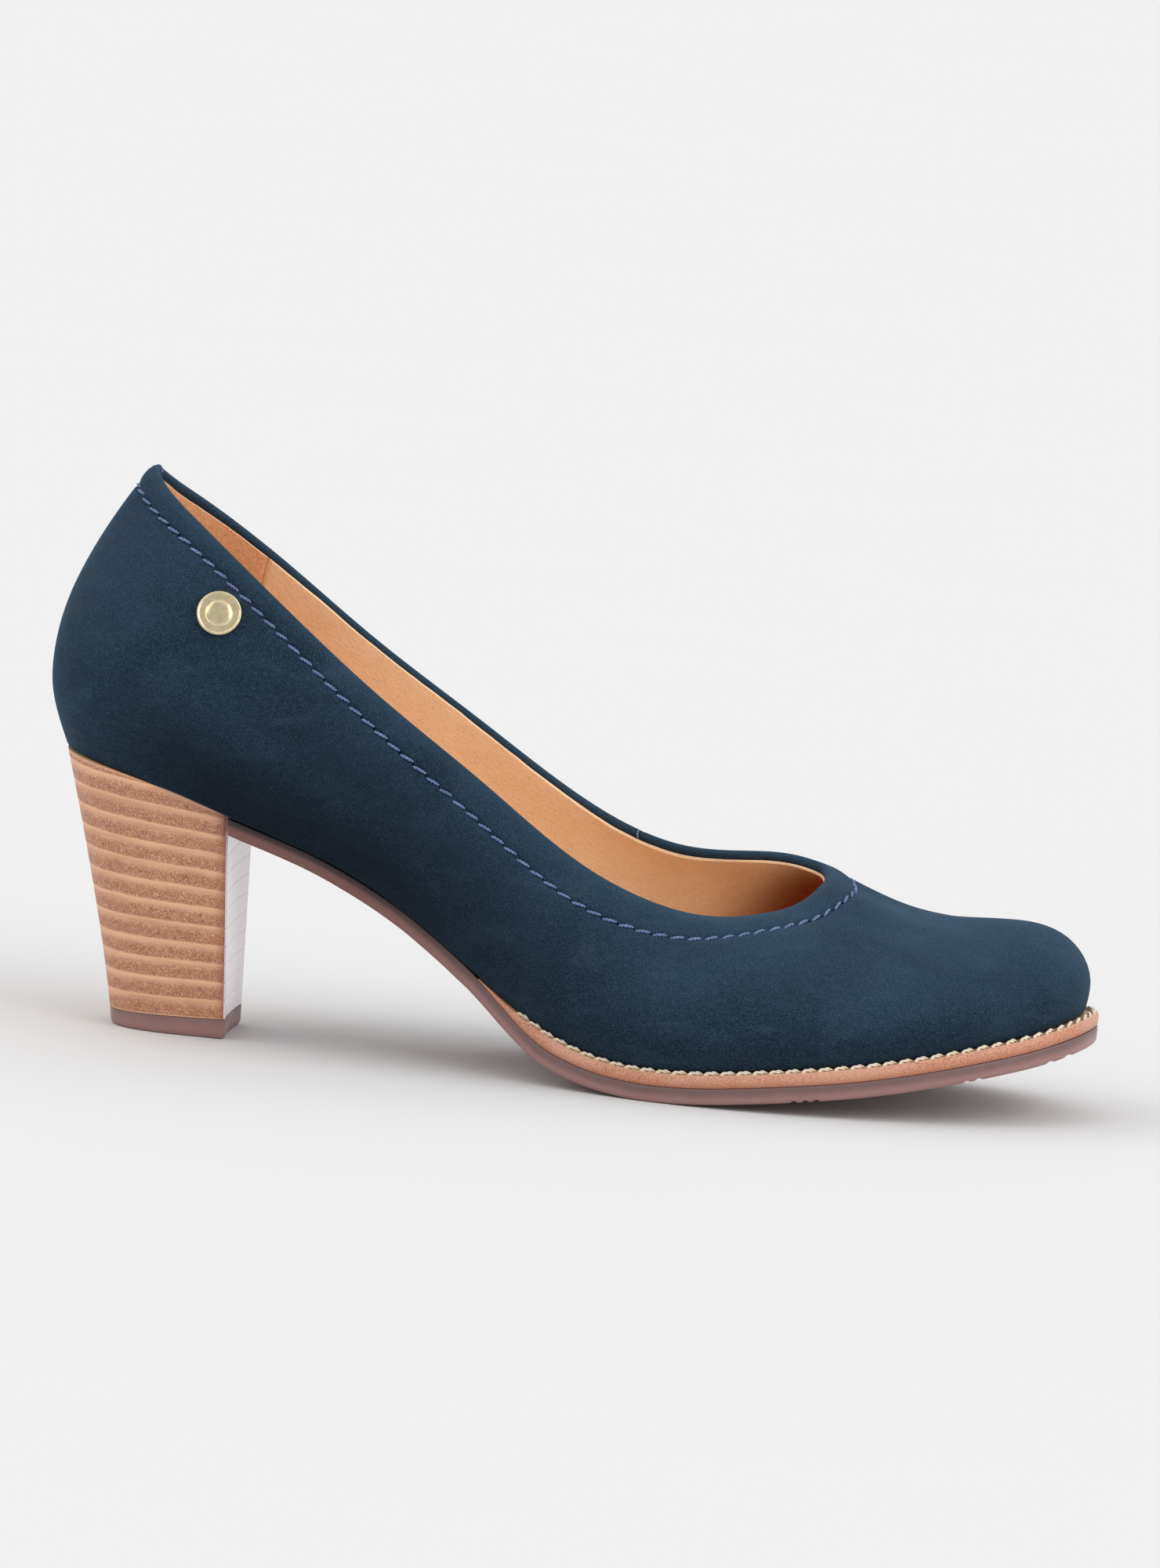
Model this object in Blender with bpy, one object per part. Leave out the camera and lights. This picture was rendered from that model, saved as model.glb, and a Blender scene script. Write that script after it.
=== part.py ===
"""High heel pump for women, right shoe, EU size 38, with a stacked block heel.

Frame: metres, +Z up, +X towards the toe, +Y towards the inner side of the foot.
The origin is on the ground, under the middle of the shoe's bounding box.
The shoe is drawn in millimetres from the back of the heel's tread, and MM turns
that into metres when a mesh is made.

The form is a last: ribs that run from the feather edge, where the upper turns
under the insole, up to the topline. Every layer of the upper lies at its own
depth under that surface, and every layer of the bottom at its own height from
the feather edge.
"""

import math

import bmesh
import bpy
import numpy as np
from mathutils import Vector

MM = 0.001
GAP = 0.3  # between pieces that touch

# Driving dimensions, in millimetres
SOLE_THICK = 3.2
WELT_THICK = 3.2
WELT_MARGIN = 2.5  # how far welt and sole stand out beyond the feather edge
TOE_MARGIN = 3.3  # the same at the toe
WELT_INNER = 8.0
WELT_START, WELT_FULL = 88.0, 108.0  # x where the welt begins and is at full height
UPPER = (0.0, 1.3)  # depths below the outer surface
STIFFENER = (1.6, 2.4)
LINING = (2.7, 3.4)
LASTING_MARGIN = 10.0  # how far the upper is turned in under the insole
UPPER_TURN = (0.0, 1.3)  # heights above the feather edge, from here down
LINING_TURN = (1.6, 2.3)
STEEL_SHANK = (0.0, 1.1)
SHANK_BOARD = (1.4, 2.3)
INSOLE_BOARD = (2.9, 4.4)
FOAM = (4.7, 6.7)
SOCK = (7.0, 7.8)
FILLER = (-3.0, 2.3)
FILLER_START = 112.0

HEEL_TREAD_FRONT = 28.7
HEEL_TREAD_HALF_WIDTH = 13.7
HEEL_TREAD_BACK = 0.4  # x of the heel's back at the ground
HEEL_TOP_BACK = -14.4  # and at the seat
HEEL_TOP_HALF_WIDTH = 24.2
HEEL_TOP_BREAST = 26.0
HEEL_SEAT_HEIGHT = 63.0
TOP_PIECE = (3.9, 4.7)  # thickness of the rubber top piece at its back and front
LIFT_BACK, LIFT_FRONT = 4.65, 4.3  # thickness of one heel lift at its back and front
LIFTS = 13
HEEL_SOLVER = "MANIFOLD"  # EXACT turns two of the drilled lifts inside out

BADGE_X, BADGE_DROP = 21.4, 13.8  # place of the badge: x, and distance below the topline
SEAM_DROP = (6.0, 10.5, 7.5)  # distance of the topline seam from the edge: back, sides, throat
BADGE_RADIUS = 5.2
SEAM_X = 117.0  # where the inner quarter meets the vamp at the topline
GRIP_X = 26.0  # front edge of the heel grip

# Side view of the feather edge: x and height
FEATHER = (
    (-24, 65.0), (-15, 63.4), (8, 59.0), (30, 52.0), (46, 46.7), (58, 41.4), (70, 34.8),
    (82, 26.6), (94, 18.4), (106, 12.0), (118, 8.3), (134, 7.2), (156, 9.2),
    (178, 12.3), (198, 16.4), (208, 18.8), (218, 21.4), (226, 24.0), (232, 26.0),
)

# Ribs of the last, from the back of the heel round the outer side, the toe and the
# inner side. Each starts on the feather edge (x, y) and goes up to the topline (x, y, z).
RIBS = (
    ((-14.7, 0), (-19.4, 0, 76.5), (-19, 0, 90.5), (-14.9, 0, 104), (-8.3, 0, 117), (-0.1, 0, 129.9)),
    ((-8.5, -15.2), (-11.8, -17.8, 75.5), (-11.6, -17.8, 89),
     (-8.4, -15.8, 102), (-2.5, -12.8, 114.5), (4, -9.3, 126.2)),
    ((8, -24), (7, -27.5, 71), (7.5, -28.3, 83), (9, -26.5, 95), (11.5, -22.5, 107), (14.5, -17.5, 118.9)),
    ((30, -25.5), (30, -29.5, 62.5), (30, -30, 74), (30.5, -28.5, 85.5),
     (31.5, -25.5, 96), (33, -22, 104.8)),
    ((58, -24.5), (58, -29, 49.5), (58, -30.3, 58.5), (58, -29.5, 67.5),
     (58.5, -27.3, 76.5), (59.5, -24.5, 84.6)),
    ((86, -27.5), (86, -32.5, 31.5), (86, -34, 40.5), (86, -33, 49.5),
     (86, -30.3, 58.3), (86.5, -26.8, 66.6)),
    ((112, -36), (112, -40.5, 16.5), (112, -41, 25), (112, -38.5, 34),
     (112, -33.8, 42.5), (112.5, -27.8, 49.8)),
    ((136, -41), (137, -45, 13.5), (137, -45, 21.5), (136.5, -41, 29.5),
     (136, -33.5, 36.5), (135, -23.8, 42.0)),
    ((160, -40.5), (161, -43.5, 16), (161, -42.3, 24), (159, -36.5, 31.5),
     (155, -26.5, 38), (149.5, -16, 42.2)),
    ((183, -36), (184.5, -38.5, 20), (183.5, -36, 27.5), (179, -28, 34),
     (170, -17.5, 40), (157.5, -9, 44.6)),
    ((203, -28), (205, -29.5, 24.5), (203, -26, 31.5), (195, -18, 37), (180, -9, 42), (161.3, -2.5, 47.7)),
    ((218, -15), (220, -15.5, 29), (217.5, -12.5, 36.4), (206.5, -7, 40.8),
     (185, -1.5, 42.3), (162.5, 2.5, 49.2)),
    ((224.5, 4), (225.3, 4, 31), (221.3, 4.5, 38.6), (209, 6, 43.2),
     (184.5, 7.5, 42.6), (162.3, 6.5, 50.2)),
    ((219, 19.5), (220.5, 20.5, 29), (217.5, 18.5, 36.4),
     (205.5, 16.5, 41.2), (184.5, 13.5, 42.3), (161, 10.5, 51)),
    ((203, 30.5), (204.5, 32, 24.5), (201.5, 29.5, 32), (192, 24.5, 38.3),
     (175.5, 18.5, 43.6), (157.5, 13.5, 51.8)),
    ((182, 35.5), (183, 38, 20), (181, 36.5, 28.5), (175, 31.5, 36.5), (163, 24.5, 45), (150, 17, 52.2)),
    ((158, 37), (158.5, 40, 17), (157.5, 39.5, 26.5), (154, 35.5, 36),
     (147, 28.5, 45), (138.5, 20.5, 51.1)),
    ((132, 33), (132, 37, 15.5), (131.5, 37.8, 25.5), (130, 35.5, 35.5),
     (127, 30.5, 45), (123.5, 23.5, 51.3)),
    ((105, 24.5), (104.5, 29.5, 21.5), (104, 32, 32), (103.5, 31.5, 42.5),
     (103, 28.5, 52), (102.5, 24.8, 59.5)),
    ((78, 20), (77.5, 25.5, 38.5), (77, 28.5, 48.5), (76.5, 29, 58.5),
     (76.5, 27.3, 67.5), (76.8, 24.8, 75.4)),
    ((50, 21.5), (49.5, 26, 54), (49.5, 28.3, 64), (49.5, 28, 74), (50, 26, 84), (51, 23.7, 92.0)),
    ((25, 24.5), (24.5, 28.3, 64.5), (24.5, 29.5, 76), (25, 28.5, 87.5), (26, 25.5, 99), (28, 21.6, 108.8)),
    ((4, 22.5), (2.5, 26, 72), (2.8, 26.5, 84.5), (5, 24.5, 97), (8, 20.5, 109), (11.5, 16, 120.3)),
    ((-9.5, 14), (-12.8, 16, 75.5), (-12.8, 16, 89), (-9.5, 14.3, 102),
     (-3.5, 11.8, 114.5), (3.5, 8.7, 126.2)),
)


# ---------------------------------------------------------------- curves and the last


def spline(knots, values, at, closed=False):
    """The cubic spline through values at knots, read at the parameters at."""
    t = np.asarray(knots, float)
    p = np.asarray(values, float)
    at = np.atleast_1d(np.asarray(at, float))
    n = len(t) - 1
    h = np.diff(t)
    slope = np.diff(p, axis=0) / h[:, None]
    rows = np.zeros((n + 1, n + 1))
    right = np.zeros((n + 1, p.shape[1]))
    for i in range(1, n):
        rows[i, i - 1 : i + 2] = h[i - 1], 2 * (h[i - 1] + h[i]), h[i]
        right[i] = 6 * (slope[i] - slope[i - 1])
    if closed:
        rows[0, 0], rows[0, n] = 1, -1
        rows[n, 0], rows[n, 1] = 2 * h[0], h[0]
        rows[n, n - 1], rows[n, n] = h[-1], 2 * h[-1]
        right[n] = 6 * (slope[0] - slope[-1])
        at = t[0] + (at - t[0]) % (t[-1] - t[0])
    else:
        rows[0, 0] = rows[n, n] = 1
    bend = np.linalg.solve(rows, right)
    i = np.clip(np.searchsorted(t, at, side="right") - 1, 0, n - 1)
    a = (t[i + 1] - at)[:, None]
    b = (at - t[i])[:, None]
    step = h[i][:, None]
    return (
        (bend[i] * a**3 + bend[i + 1] * b**3) / (6 * step)
        + (p[i] / step - bend[i] * step / 6) * a
        + (p[i + 1] / step - bend[i + 1] * step / 6) * b
    )


def feather_height(x):
    """Height of the feather edge above the ground at x."""
    knots, heights = zip(*FEATHER)
    read = spline(knots, np.array(heights)[:, None], np.ravel(x))[:, 0]
    return read.reshape(np.shape(x))


def steepness(x):
    """Length along the bottom for each millimetre of x."""
    slope = (feather_height(x + 0.5) - feather_height(x - 0.5)) / 1.0
    return np.sqrt(1 + slope**2)


def smooth(value, start, end):
    """0 before start, 1 after end, and an even S in between."""
    t = np.clip((value - start) / (end - start), 0, 1)
    return t * t * (3 - 2 * t)


def control_net():
    """The ribs as an array, with the feather edge's height filled in."""
    net = [[(x, y, float(feather_height(x))), *upper] for (x, y), *upper in RIBS]
    return np.array(net, float)


NET = control_net()
CLOSED_NET = np.concatenate([NET, NET[:1]])
_hops = np.linalg.norm(np.diff(CLOSED_NET, axis=0), axis=2).mean(axis=1)
RIB_AT = np.concatenate([[0], np.cumsum(_hops)]) / _hops.sum()

# Stations round the shoe, two to each rib, and rows from the feather edge to the topline
GRID_U = np.concatenate([np.linspace(a, b, 2, endpoint=False) for a, b in zip(RIB_AT, RIB_AT[1:])])
ROWS = np.array([0.0, 0.06, 0.16, 0.32, 0.5, 0.7, 0.86, 1.0])
SEAM_GAP = 0.0006  # half the gap at a seam, as a share of the way round
TOE_RIB = len(RIBS) // 2


def surface(us, vs):
    """Points on the outer surface, as an array [u][v]; u runs round, v runs up."""
    heights = np.linspace(0, 1, NET.shape[1])
    ribs = [spline(heights, rib, vs) for rib in CLOSED_NET]
    rings = np.array(ribs).reshape(len(CLOSED_NET), -1)
    return spline(RIB_AT, rings, us, closed=True).reshape(len(np.atleast_1d(us)), -1, 3)


def wall(us, vs, depth):
    """Points at a depth under the outer surface, as an array [u][v]."""
    us, vs = np.atleast_1d(us), np.atleast_1d(vs)
    step = 0.004
    along = surface(us + step, vs) - surface(us - step, vs)
    up = surface(us, np.minimum(vs + step, 1)) - surface(us, np.maximum(vs - step, 0))
    normal = np.cross(along, up)
    normal /= np.linalg.norm(normal, axis=2, keepdims=True)
    return surface(us, vs) - normal * depth


def u_at(x, side, v=1.0):
    """The u of the rib that reaches x at share v of its height. side: -1 outer, 1 inner."""
    toe = float(RIB_AT[TOE_RIB])
    us = np.linspace(0, toe, 400) if side < 0 else np.linspace(1, toe, 400)
    return float(np.interp(x, surface(us, v)[:, 0, 0], us))


def on_grid(u):
    """The station nearest to u."""
    return float(GRID_U[np.argmin(np.abs(GRID_U - u))])


def outline(offset):
    """The feather edge in plan, moved outwards by offset: an array of (x, y)."""
    us = np.linspace(0, 1, 721)
    edge = surface(us, 0.0)[:, 0, :2]
    along = surface(us + 0.002, 0.0)[:, 0, :2] - surface(us - 0.002, 0.0)[:, 0, :2]
    along /= np.linalg.norm(along, axis=1, keepdims=True)
    out = np.stack([along[:, 1], -along[:, 0]], axis=1)
    return edge + out * np.reshape(offset, (-1, 1))


def width_at(x, offset):
    """The outline's outer-side and inner-side y at x."""
    edge = outline(offset)
    tip = int(np.argmax(edge[:, 0]))
    back = int(np.argmin(edge[:, 0]))
    loop = np.roll(edge[:-1], -back, axis=0)
    tip = (tip - back) % len(loop)
    outer, inner = loop[: tip + 1], loop[tip:][::-1]
    return np.interp(x, outer[:, 0], outer[:, 1]), np.interp(x, inner[:, 0], inner[:, 1])


def stations(start, end, count, round_start=True, round_end=True):
    """x values that crowd together towards a rounded end."""
    t = np.linspace(0, 1, count)
    low = math.pi if round_start else math.pi / 2
    high = 0.0 if round_end else math.pi / 2
    turn = np.cos(low + (high - low) * t)
    return start + (end - start) * (turn - turn[0]) / (turn[-1] - turn[0])


# ---------------------------------------------------------------- meshes

materials = {}


def material(name, colour, roughness, metallic=0.0):
    made = bpy.data.materials.new(name)
    made.use_nodes = True
    shader = made.node_tree.nodes["Principled BSDF"]
    shader.inputs["Base Color"].default_value = (*colour, 1)
    shader.inputs["Roughness"].default_value = roughness
    shader.inputs["Metallic"].default_value = metallic
    materials[name] = made


def make_materials():
    material("navy_nubuck", (0.012, 0.033, 0.068), 0.95)
    material("tan_leather", (0.62, 0.31, 0.13), 0.55)
    material("welt_leather", (0.50, 0.22, 0.11), 0.6)
    material("heel_leather", (0.46, 0.25, 0.13), 0.5)
    material("brown_rubber", (0.20, 0.09, 0.07), 0.4)
    material("blue_thread", (0.05, 0.09, 0.24), 0.8)
    material("cream_thread", (0.75, 0.62, 0.42), 0.8)
    material("gold", (0.78, 0.62, 0.25), 0.2, 1.0)
    material("steel", (0.55, 0.55, 0.56), 0.3, 1.0)
    material("board", (0.42, 0.33, 0.22), 0.9)
    material("stiffener", (0.70, 0.68, 0.62), 0.9)
    material("foam", (0.75, 0.70, 0.55), 1.0)


def add_object(name, mesh, material_name):
    """An object for one piece, with its faces turned outwards."""
    faces = bmesh.new()
    faces.from_mesh(mesh)
    bmesh.ops.recalc_face_normals(faces, faces=faces.faces)
    faces.to_mesh(mesh)
    faces.free()
    mesh.shade_smooth()
    mesh.set_sharp_from_angle(angle=math.radians(35))
    if material_name:
        mesh.materials.append(materials[material_name])
    piece = bpy.data.objects.new(name, mesh)
    bpy.context.scene.collection.objects.link(piece)
    piece.parent = shoe
    return piece


def loft(name, rings, material_name, closed=False):
    """A skin over rings of equal length. Each ring runs up one side and down the other,
    so an end is capped by joining its two sides, and both sides are split into triangles
    along the same diagonals, so that nested layers stay parallel."""
    rings = np.asarray(rings, float)
    count, size = rings.shape[:2]
    faces = []
    for i in range(count if closed else count - 1):
        a, b = i * size, (i + 1) % count * size
        for j in range(size):
            k = (j + 1) % size
            if j < size // 2:
                faces += [(a + j, a + k, b + k), (a + j, b + k, b + j)]
            else:
                faces += [(a + j, a + k, b + j), (a + k, b + k, b + j)]
    if not closed:
        for base in (0, (count - 1) * size):
            for j in range((size - 1) // 2):
                far = size - 1 - j
                cap = dict.fromkeys((j, j + 1, far - 1, far))
                faces.append(tuple(base + k for k in cap))
    mesh = bpy.data.meshes.new(name)
    mesh.from_pydata((rings.reshape(-1, 3) * MM).tolist(), [], faces)
    return add_object(name, mesh, material_name)


def turned(name, profile, place, axis, material_name, sides=16):
    """A solid of revolution: profile is (radius, distance along axis), from pole to pole."""
    points, faces = [], []
    frame = Vector(axis).to_track_quat("Z", "Y").to_matrix()
    rows = []
    for radius, height in profile:
        row = []
        for k in range(1 if radius == 0 else sides):
            angle = 2 * math.pi * k / sides
            local = Vector((radius * math.cos(angle), radius * math.sin(angle), height))
            row.append(len(points))
            points.append((Vector(place) + frame @ local) * MM)
        rows.append(row)
    for low, high in zip(rows, rows[1:]):
        for k in range(sides):
            n = (k + 1) % sides
            if len(low) == 1:
                faces.append((low[0], high[k], high[n]))
            elif len(high) == 1:
                faces.append((low[k], low[n], high[0]))
            else:
                faces.append((low[k], low[n], high[n], high[k]))
    mesh = bpy.data.meshes.new(name)
    mesh.from_pydata(points, [], faces)
    return add_object(name, mesh, material_name)


def cut(piece, cutter, solver="EXACT"):
    """Takes the cutter's shape out of the piece."""
    cutter.hide_render = True
    cutter.display_type = "WIRE"
    hole = piece.modifiers.new("cut_" + cutter.name, "BOOLEAN")
    hole.operation = "DIFFERENCE"
    hole.solver = solver
    hole.object = cutter


# ---------------------------------------------------------------- upper and its layers


def shell(name, us, vs, depths, material_name, closed=False, turn=None, margin=0.0):
    """A layer of the upper between two depths. A layer with a turn, a pair of heights, is
    turned in under the insole board by margin."""
    outer, inner = wall(us, vs, depths[0]), wall(us, vs, depths[1])
    if turn:
        flat = surface(us, 0.0)[:, 0]
        turned_in = []
        for inset in (margin, (margin + depths[1]) / 2, depths[1] + 1.5):
            row = flat.copy()
            row[:, :2] -= outward(us) * inset
            row[:, 2] = feather_height(row[:, 0])
            turned_in.append(row)
        turned_in = np.stack(turned_in, axis=1)
        low, high = (turned_in + np.array([0, 0, height]) for height in turn)
        outer[..., 2] = np.maximum(outer[..., 2], low[:, 2:, 2] + 0.2)
        inner[..., 2] = np.maximum(inner[..., 2], high[:, 2:, 2] + 0.2)
        outer = np.concatenate([low, outer], axis=1)
        inner = np.concatenate([high, inner], axis=1)
    rings = np.concatenate([outer, inner[:, ::-1]], axis=1)
    return loft(name, rings, material_name, closed)


def outward(us):
    """The horizontal direction away from the shoe, at the feather edge."""
    along = surface(us + 0.002, 0.0)[:, 0, :2] - surface(us - 0.002, 0.0)[:, 0, :2]
    along /= np.linalg.norm(along, axis=1, keepdims=True)
    return np.stack([along[:, 1], -along[:, 0]], axis=1)


def round_stations(start, end):
    """The u of each station from start to end. Every layer has the same stations and
    rows, so that the flat faces of one layer never cut into the next."""
    grid = np.concatenate([GRID_U - 1, GRID_U, GRID_U + 1])
    inside = grid[(grid > start + 0.004) & (grid < end - 0.004)]
    return np.concatenate([[start], inside, [end]])


def build_upper():
    """The vamp with the outer quarter in one piece, and the inner quarter, with seams at
    the back of the heel and at the inner side of the vamp."""
    seam = on_grid(u_at(SEAM_X, 1))
    lasted = {"turn": UPPER_TURN, "margin": LASTING_MARGIN}
    vamp_us = round_stations(SEAM_GAP, seam - SEAM_GAP)
    vamp = shell("vamp_and_outer_quarter", vamp_us, ROWS, UPPER, "navy_nubuck", **lasted)
    quarter_us = round_stations(seam + SEAM_GAP, 1 - SEAM_GAP)
    shell("inner_quarter", quarter_us, ROWS, UPPER, "navy_nubuck", **lasted)
    return vamp


def build_linings():
    """The lining of the vamp and sides, and the rough grip round the back of the heel."""
    rows = np.append(ROWS[:-1], 0.985)
    grip_out, grip_in = on_grid(u_at(GRIP_X, -1)), on_grid(u_at(GRIP_X, 1))
    lasted = {"turn": LINING_TURN, "margin": LASTING_MARGIN}
    front = round_stations(grip_out + SEAM_GAP, grip_in - SEAM_GAP)
    shell("front_lining", front, rows, LINING, "tan_leather", **lasted)
    back = round_stations(grip_in + SEAM_GAP - 1, grip_out - SEAM_GAP)
    shell("heel_grip_lining", back, rows, LINING, "tan_leather", **lasted)


def build_stiffeners():
    """Counter, toe puff, the interlinings between them, and the tape in the topline."""
    ends = {
        "counter_in": on_grid(u_at(48, 1, 0.3)) - 1,
        "counter_out": on_grid(u_at(50, -1, 0.3)),
        "puff_out": on_grid(u_at(190, -1, 0.3)),
        "puff_in": on_grid(u_at(190, 1, 0.3)),
    }
    low = ROWS[1:6]
    for name, start, end, rows in (
        ("heel_counter", ends["counter_in"], ends["counter_out"], low),
        ("toe_puff", ends["puff_out"], ends["puff_in"], low),
        ("outer_interlining", ends["counter_out"], ends["puff_out"], low),
        ("inner_interlining", ends["puff_in"], ends["counter_in"] + 1, low),
    ):
        us = round_stations(start + SEAM_GAP, end - SEAM_GAP)
        shell(name, us, rows, STIFFENER, "stiffener")
    tape = np.array([0.91, 0.97])
    shell("topline_tape", GRID_U, tape, (1.65, 2.25), "stiffener", closed=True)


def build_topline_thread():
    """The thread of the topline seam, as one cord that lies on the upper."""
    us = np.linspace(0, 1, 73)[:-1]
    x = surface(us, 1.0)[:, 0, 0]
    back, side, throat = SEAM_DROP
    drops = back + (side - back) * smooth(x, 20, 120) + (throat - side) * smooth(x, 130, 162)
    vs = [v_below(u, drop) for u, drop in zip(us, drops)]
    middle = np.array([wall(u, v, -0.7)[0, 0] for u, v in zip(us, vs)])
    high = np.array([wall(u, v + 0.01, -0.7)[0, 0] for u, v in zip(us, vs)]) - middle
    out = np.array([wall(u, v, -1.7)[0, 0] for u, v in zip(us, vs)]) - middle
    high /= np.linalg.norm(high, axis=1, keepdims=True)
    rings = []
    for angle in np.arange(4) * math.pi / 2 + math.pi / 4:
        rings.append(middle + 0.35 * (math.cos(angle) * high + math.sin(angle) * out))
    loft("topline_thread", np.stack(rings, axis=1), "blue_thread", closed=True)


def v_below(u, drop):
    """The share of the rib at u that lies a given distance below the topline."""
    shares = np.linspace(0, 1, 41)
    rib = surface(u, shares)[0]
    hops = np.linalg.norm(np.diff(rib, axis=0), axis=1)
    length = np.concatenate([[0], np.cumsum(hops)])
    return float(np.interp(length[-1] - drop, length, shares))


def build_badge(vamp):
    """A gold rivet: cap and post outside, washer between upper and lining."""
    u = u_at(BADGE_X, -1, 0.8)
    v = v_below(u, BADGE_DROP)
    outside = wall(u, v, 0.0)[0, 0]
    axis = outside - wall(u, v, 1.0)[0, 0]
    cap = ((0, -1.4), (1.1, -1.4), (1.1, 0.3), (4.6, 0.3), (BADGE_RADIUS, 0.6), (5.1, 1.2), (4.2, 1.6), (0, 1.75))
    turned("badge_cap", cap, outside, axis, "gold", sides=24)
    hole = turned("badge_hole", ((0, -1.9), (1.4, -1.9), (1.4, 1.0), (0, 1.0)), outside, axis, None)
    cut(vamp, hole)
    washer = ((0, -2.5), (3.0, -2.5), (3.2, -1.7), (0, -1.7))
    turned("badge_washer", washer, outside, axis, "steel", sides=16)


# ---------------------------------------------------------------- bottom


def plank(name, inset, low, high, start, end, count, material_name, round_start=True, round_end=True):
    """A flat layer that follows the bottom, inset from the feather edge."""
    edge = outline(-inset)
    start, end = max(start, edge[:, 0].min() + 0.15), min(end, edge[:, 0].max() - 0.15)
    rings = []
    for x in stations(start, end, count, round_start, round_end):
        outer, inner = width_at(x, -inset)
        z = float(feather_height(x))
        ys = np.linspace(outer, inner, 3)
        rings.append([(x, y, z + high) for y in ys] + [(x, y, z + low) for y in ys[::-1]])
    return loft(name, rings, material_name)


def sole_margin(x):
    """How far the sole stands out beyond the feather edge: none at the waist."""
    toe = (TOE_MARGIN - WELT_MARGIN) * smooth(x, 200, 225)
    return -0.6 + (WELT_MARGIN + 0.6) * smooth(x, WELT_START - 12, WELT_FULL) + toe


def welt_height(x):
    """Height of the welt between the sole and the feather edge."""
    return WELT_THICK * smooth(x, WELT_START - 4, WELT_FULL)


def sole_bottom(x):
    """Height of the tread above the ground."""
    return feather_height(x) - (SOLE_THICK + welt_height(x) + 2 * GAP) * steepness(x)


def build_outsole():
    tip = outline(TOE_MARGIN)[:, 0].max() - 0.1
    start = breast_x(45.0) + GAP
    ground = min(float(sole_bottom(x)) for x in np.linspace(115, 150, 141))
    rings = []
    for x in stations(start, tip, 44, round_start=False):
        margin = float(sole_margin(x))
        outer, inner = width_at(x, margin)
        low = max(float(sole_bottom(x)) - ground, 0.0)
        high = float(feather_height(x) - (welt_height(x) + GAP) * steepness(x)) - GAP
        chamfer = min(0.8, (inner - outer) / 6)
        middle = (outer + inner) / 2
        rings.append(
            [(x, outer, low + 0.9), (x, outer, high), (x, middle, high), (x, inner, high)]
            + [(x, inner, low + 0.9), (x, inner - chamfer, low), (x, middle, low), (x, outer + chamfer, low)]
        )
    return loft("outsole", rings, "brown_rubber")


def build_welt():
    start, end = u_at(WELT_START, -1, 0.0), u_at(WELT_START, 1, 0.0)
    us = np.linspace(start, end, 46)
    edge = surface(us, 0.0)[:, 0]
    out = outward(us)
    rings = []
    for point, away in zip(edge, out):
        margin = float(sole_margin(point[0]))
        thick = max(float(welt_height(point[0])), 0.35)
        ring = []
        for offset, share in ((-WELT_INNER, 1), (margin - 0.5, 1), (margin, 0.84), (margin, 0), (-WELT_INNER, 0)):
            x, y = point[:2] + away * offset
            top = float(feather_height(x)) - GAP
            ring.append((x, y, top - thick * (1 - share) * float(steepness(x))))
        middle = [(np.array(ring[3]) + np.array(ring[4])) / 2]
        rings.append(ring[:4] + middle + ring[4:])
    return loft("welt", rings, "welt_leather")


def build_welt_thread():
    start, end = u_at(WELT_START + 6, -1, 0.0), u_at(WELT_START + 6, 1, 0.0)
    us = np.linspace(start, end, 56)
    edge = surface(us, 0.0)[:, 0]
    out = outward(us)
    middle = edge.copy()
    middle[:, :2] += out * (WELT_MARGIN - 1.2)
    middle[:, 2] = feather_height(middle[:, 0]) + 0.4
    sideways = np.concatenate([out, np.zeros((len(us), 1))], axis=1)
    up = np.array([0, 0, 1.0])
    rings = []
    for angle in np.arange(4) * math.pi / 2:
        rings.append(middle + 0.42 * (math.cos(angle) * sideways + math.sin(angle) * up))
    loft("welt_thread", np.stack(rings, axis=1), "cream_thread")


def build_insole():
    """Insole board, foam and sock from heel to toe, and under them the shank board at the
    back and the cork that fills the forefoot."""
    heel, toe = -50, 300  # past both ends, so that plank() stops at the outline
    under_margin = LASTING_MARGIN + 2.5
    board = plank("insole_board", 4.0, *INSOLE_BOARD, heel, toe, 34, "board")
    shank_board = plank(
        "shank_board", under_margin, *SHANK_BOARD, heel, FILLER_START - 4, 16, "board", round_end=False
    )
    plank("foam_cushion", 4.4, *FOAM, heel, toe, 34, "foam")
    plank("sock_lining", 4.0, *SOCK, heel, toe, 34, "tan_leather")
    plank("cork_filler", under_margin, *FILLER, FILLER_START, toe, 16, "board", round_start=False)
    return board, shank_board


def build_shank():
    """A steel strip from the heel seat to the ball, wider towards the ball."""
    low, high = STEEL_SHANK
    middle = 0.5
    rings = []
    for x in np.linspace(-1, 104, 17):
        half = 5.5 + 1.0 * smooth(x, 60, 100)
        z = float(feather_height(x))
        ys = (middle - half, middle, middle + half)
        rings.append([(x, y, z + high) for y in ys] + [(x, y, z + low) for y in ys[::-1]])
    return loft("steel_shank", rings, "steel")


# ---------------------------------------------------------------- heel


def breast_x(z):
    """x of the heel's front face at height z."""
    share = z / HEEL_SEAT_HEIGHT
    return HEEL_TREAD_FRONT + (HEEL_TOP_BREAST - HEEL_TREAD_FRONT) * share


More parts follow.
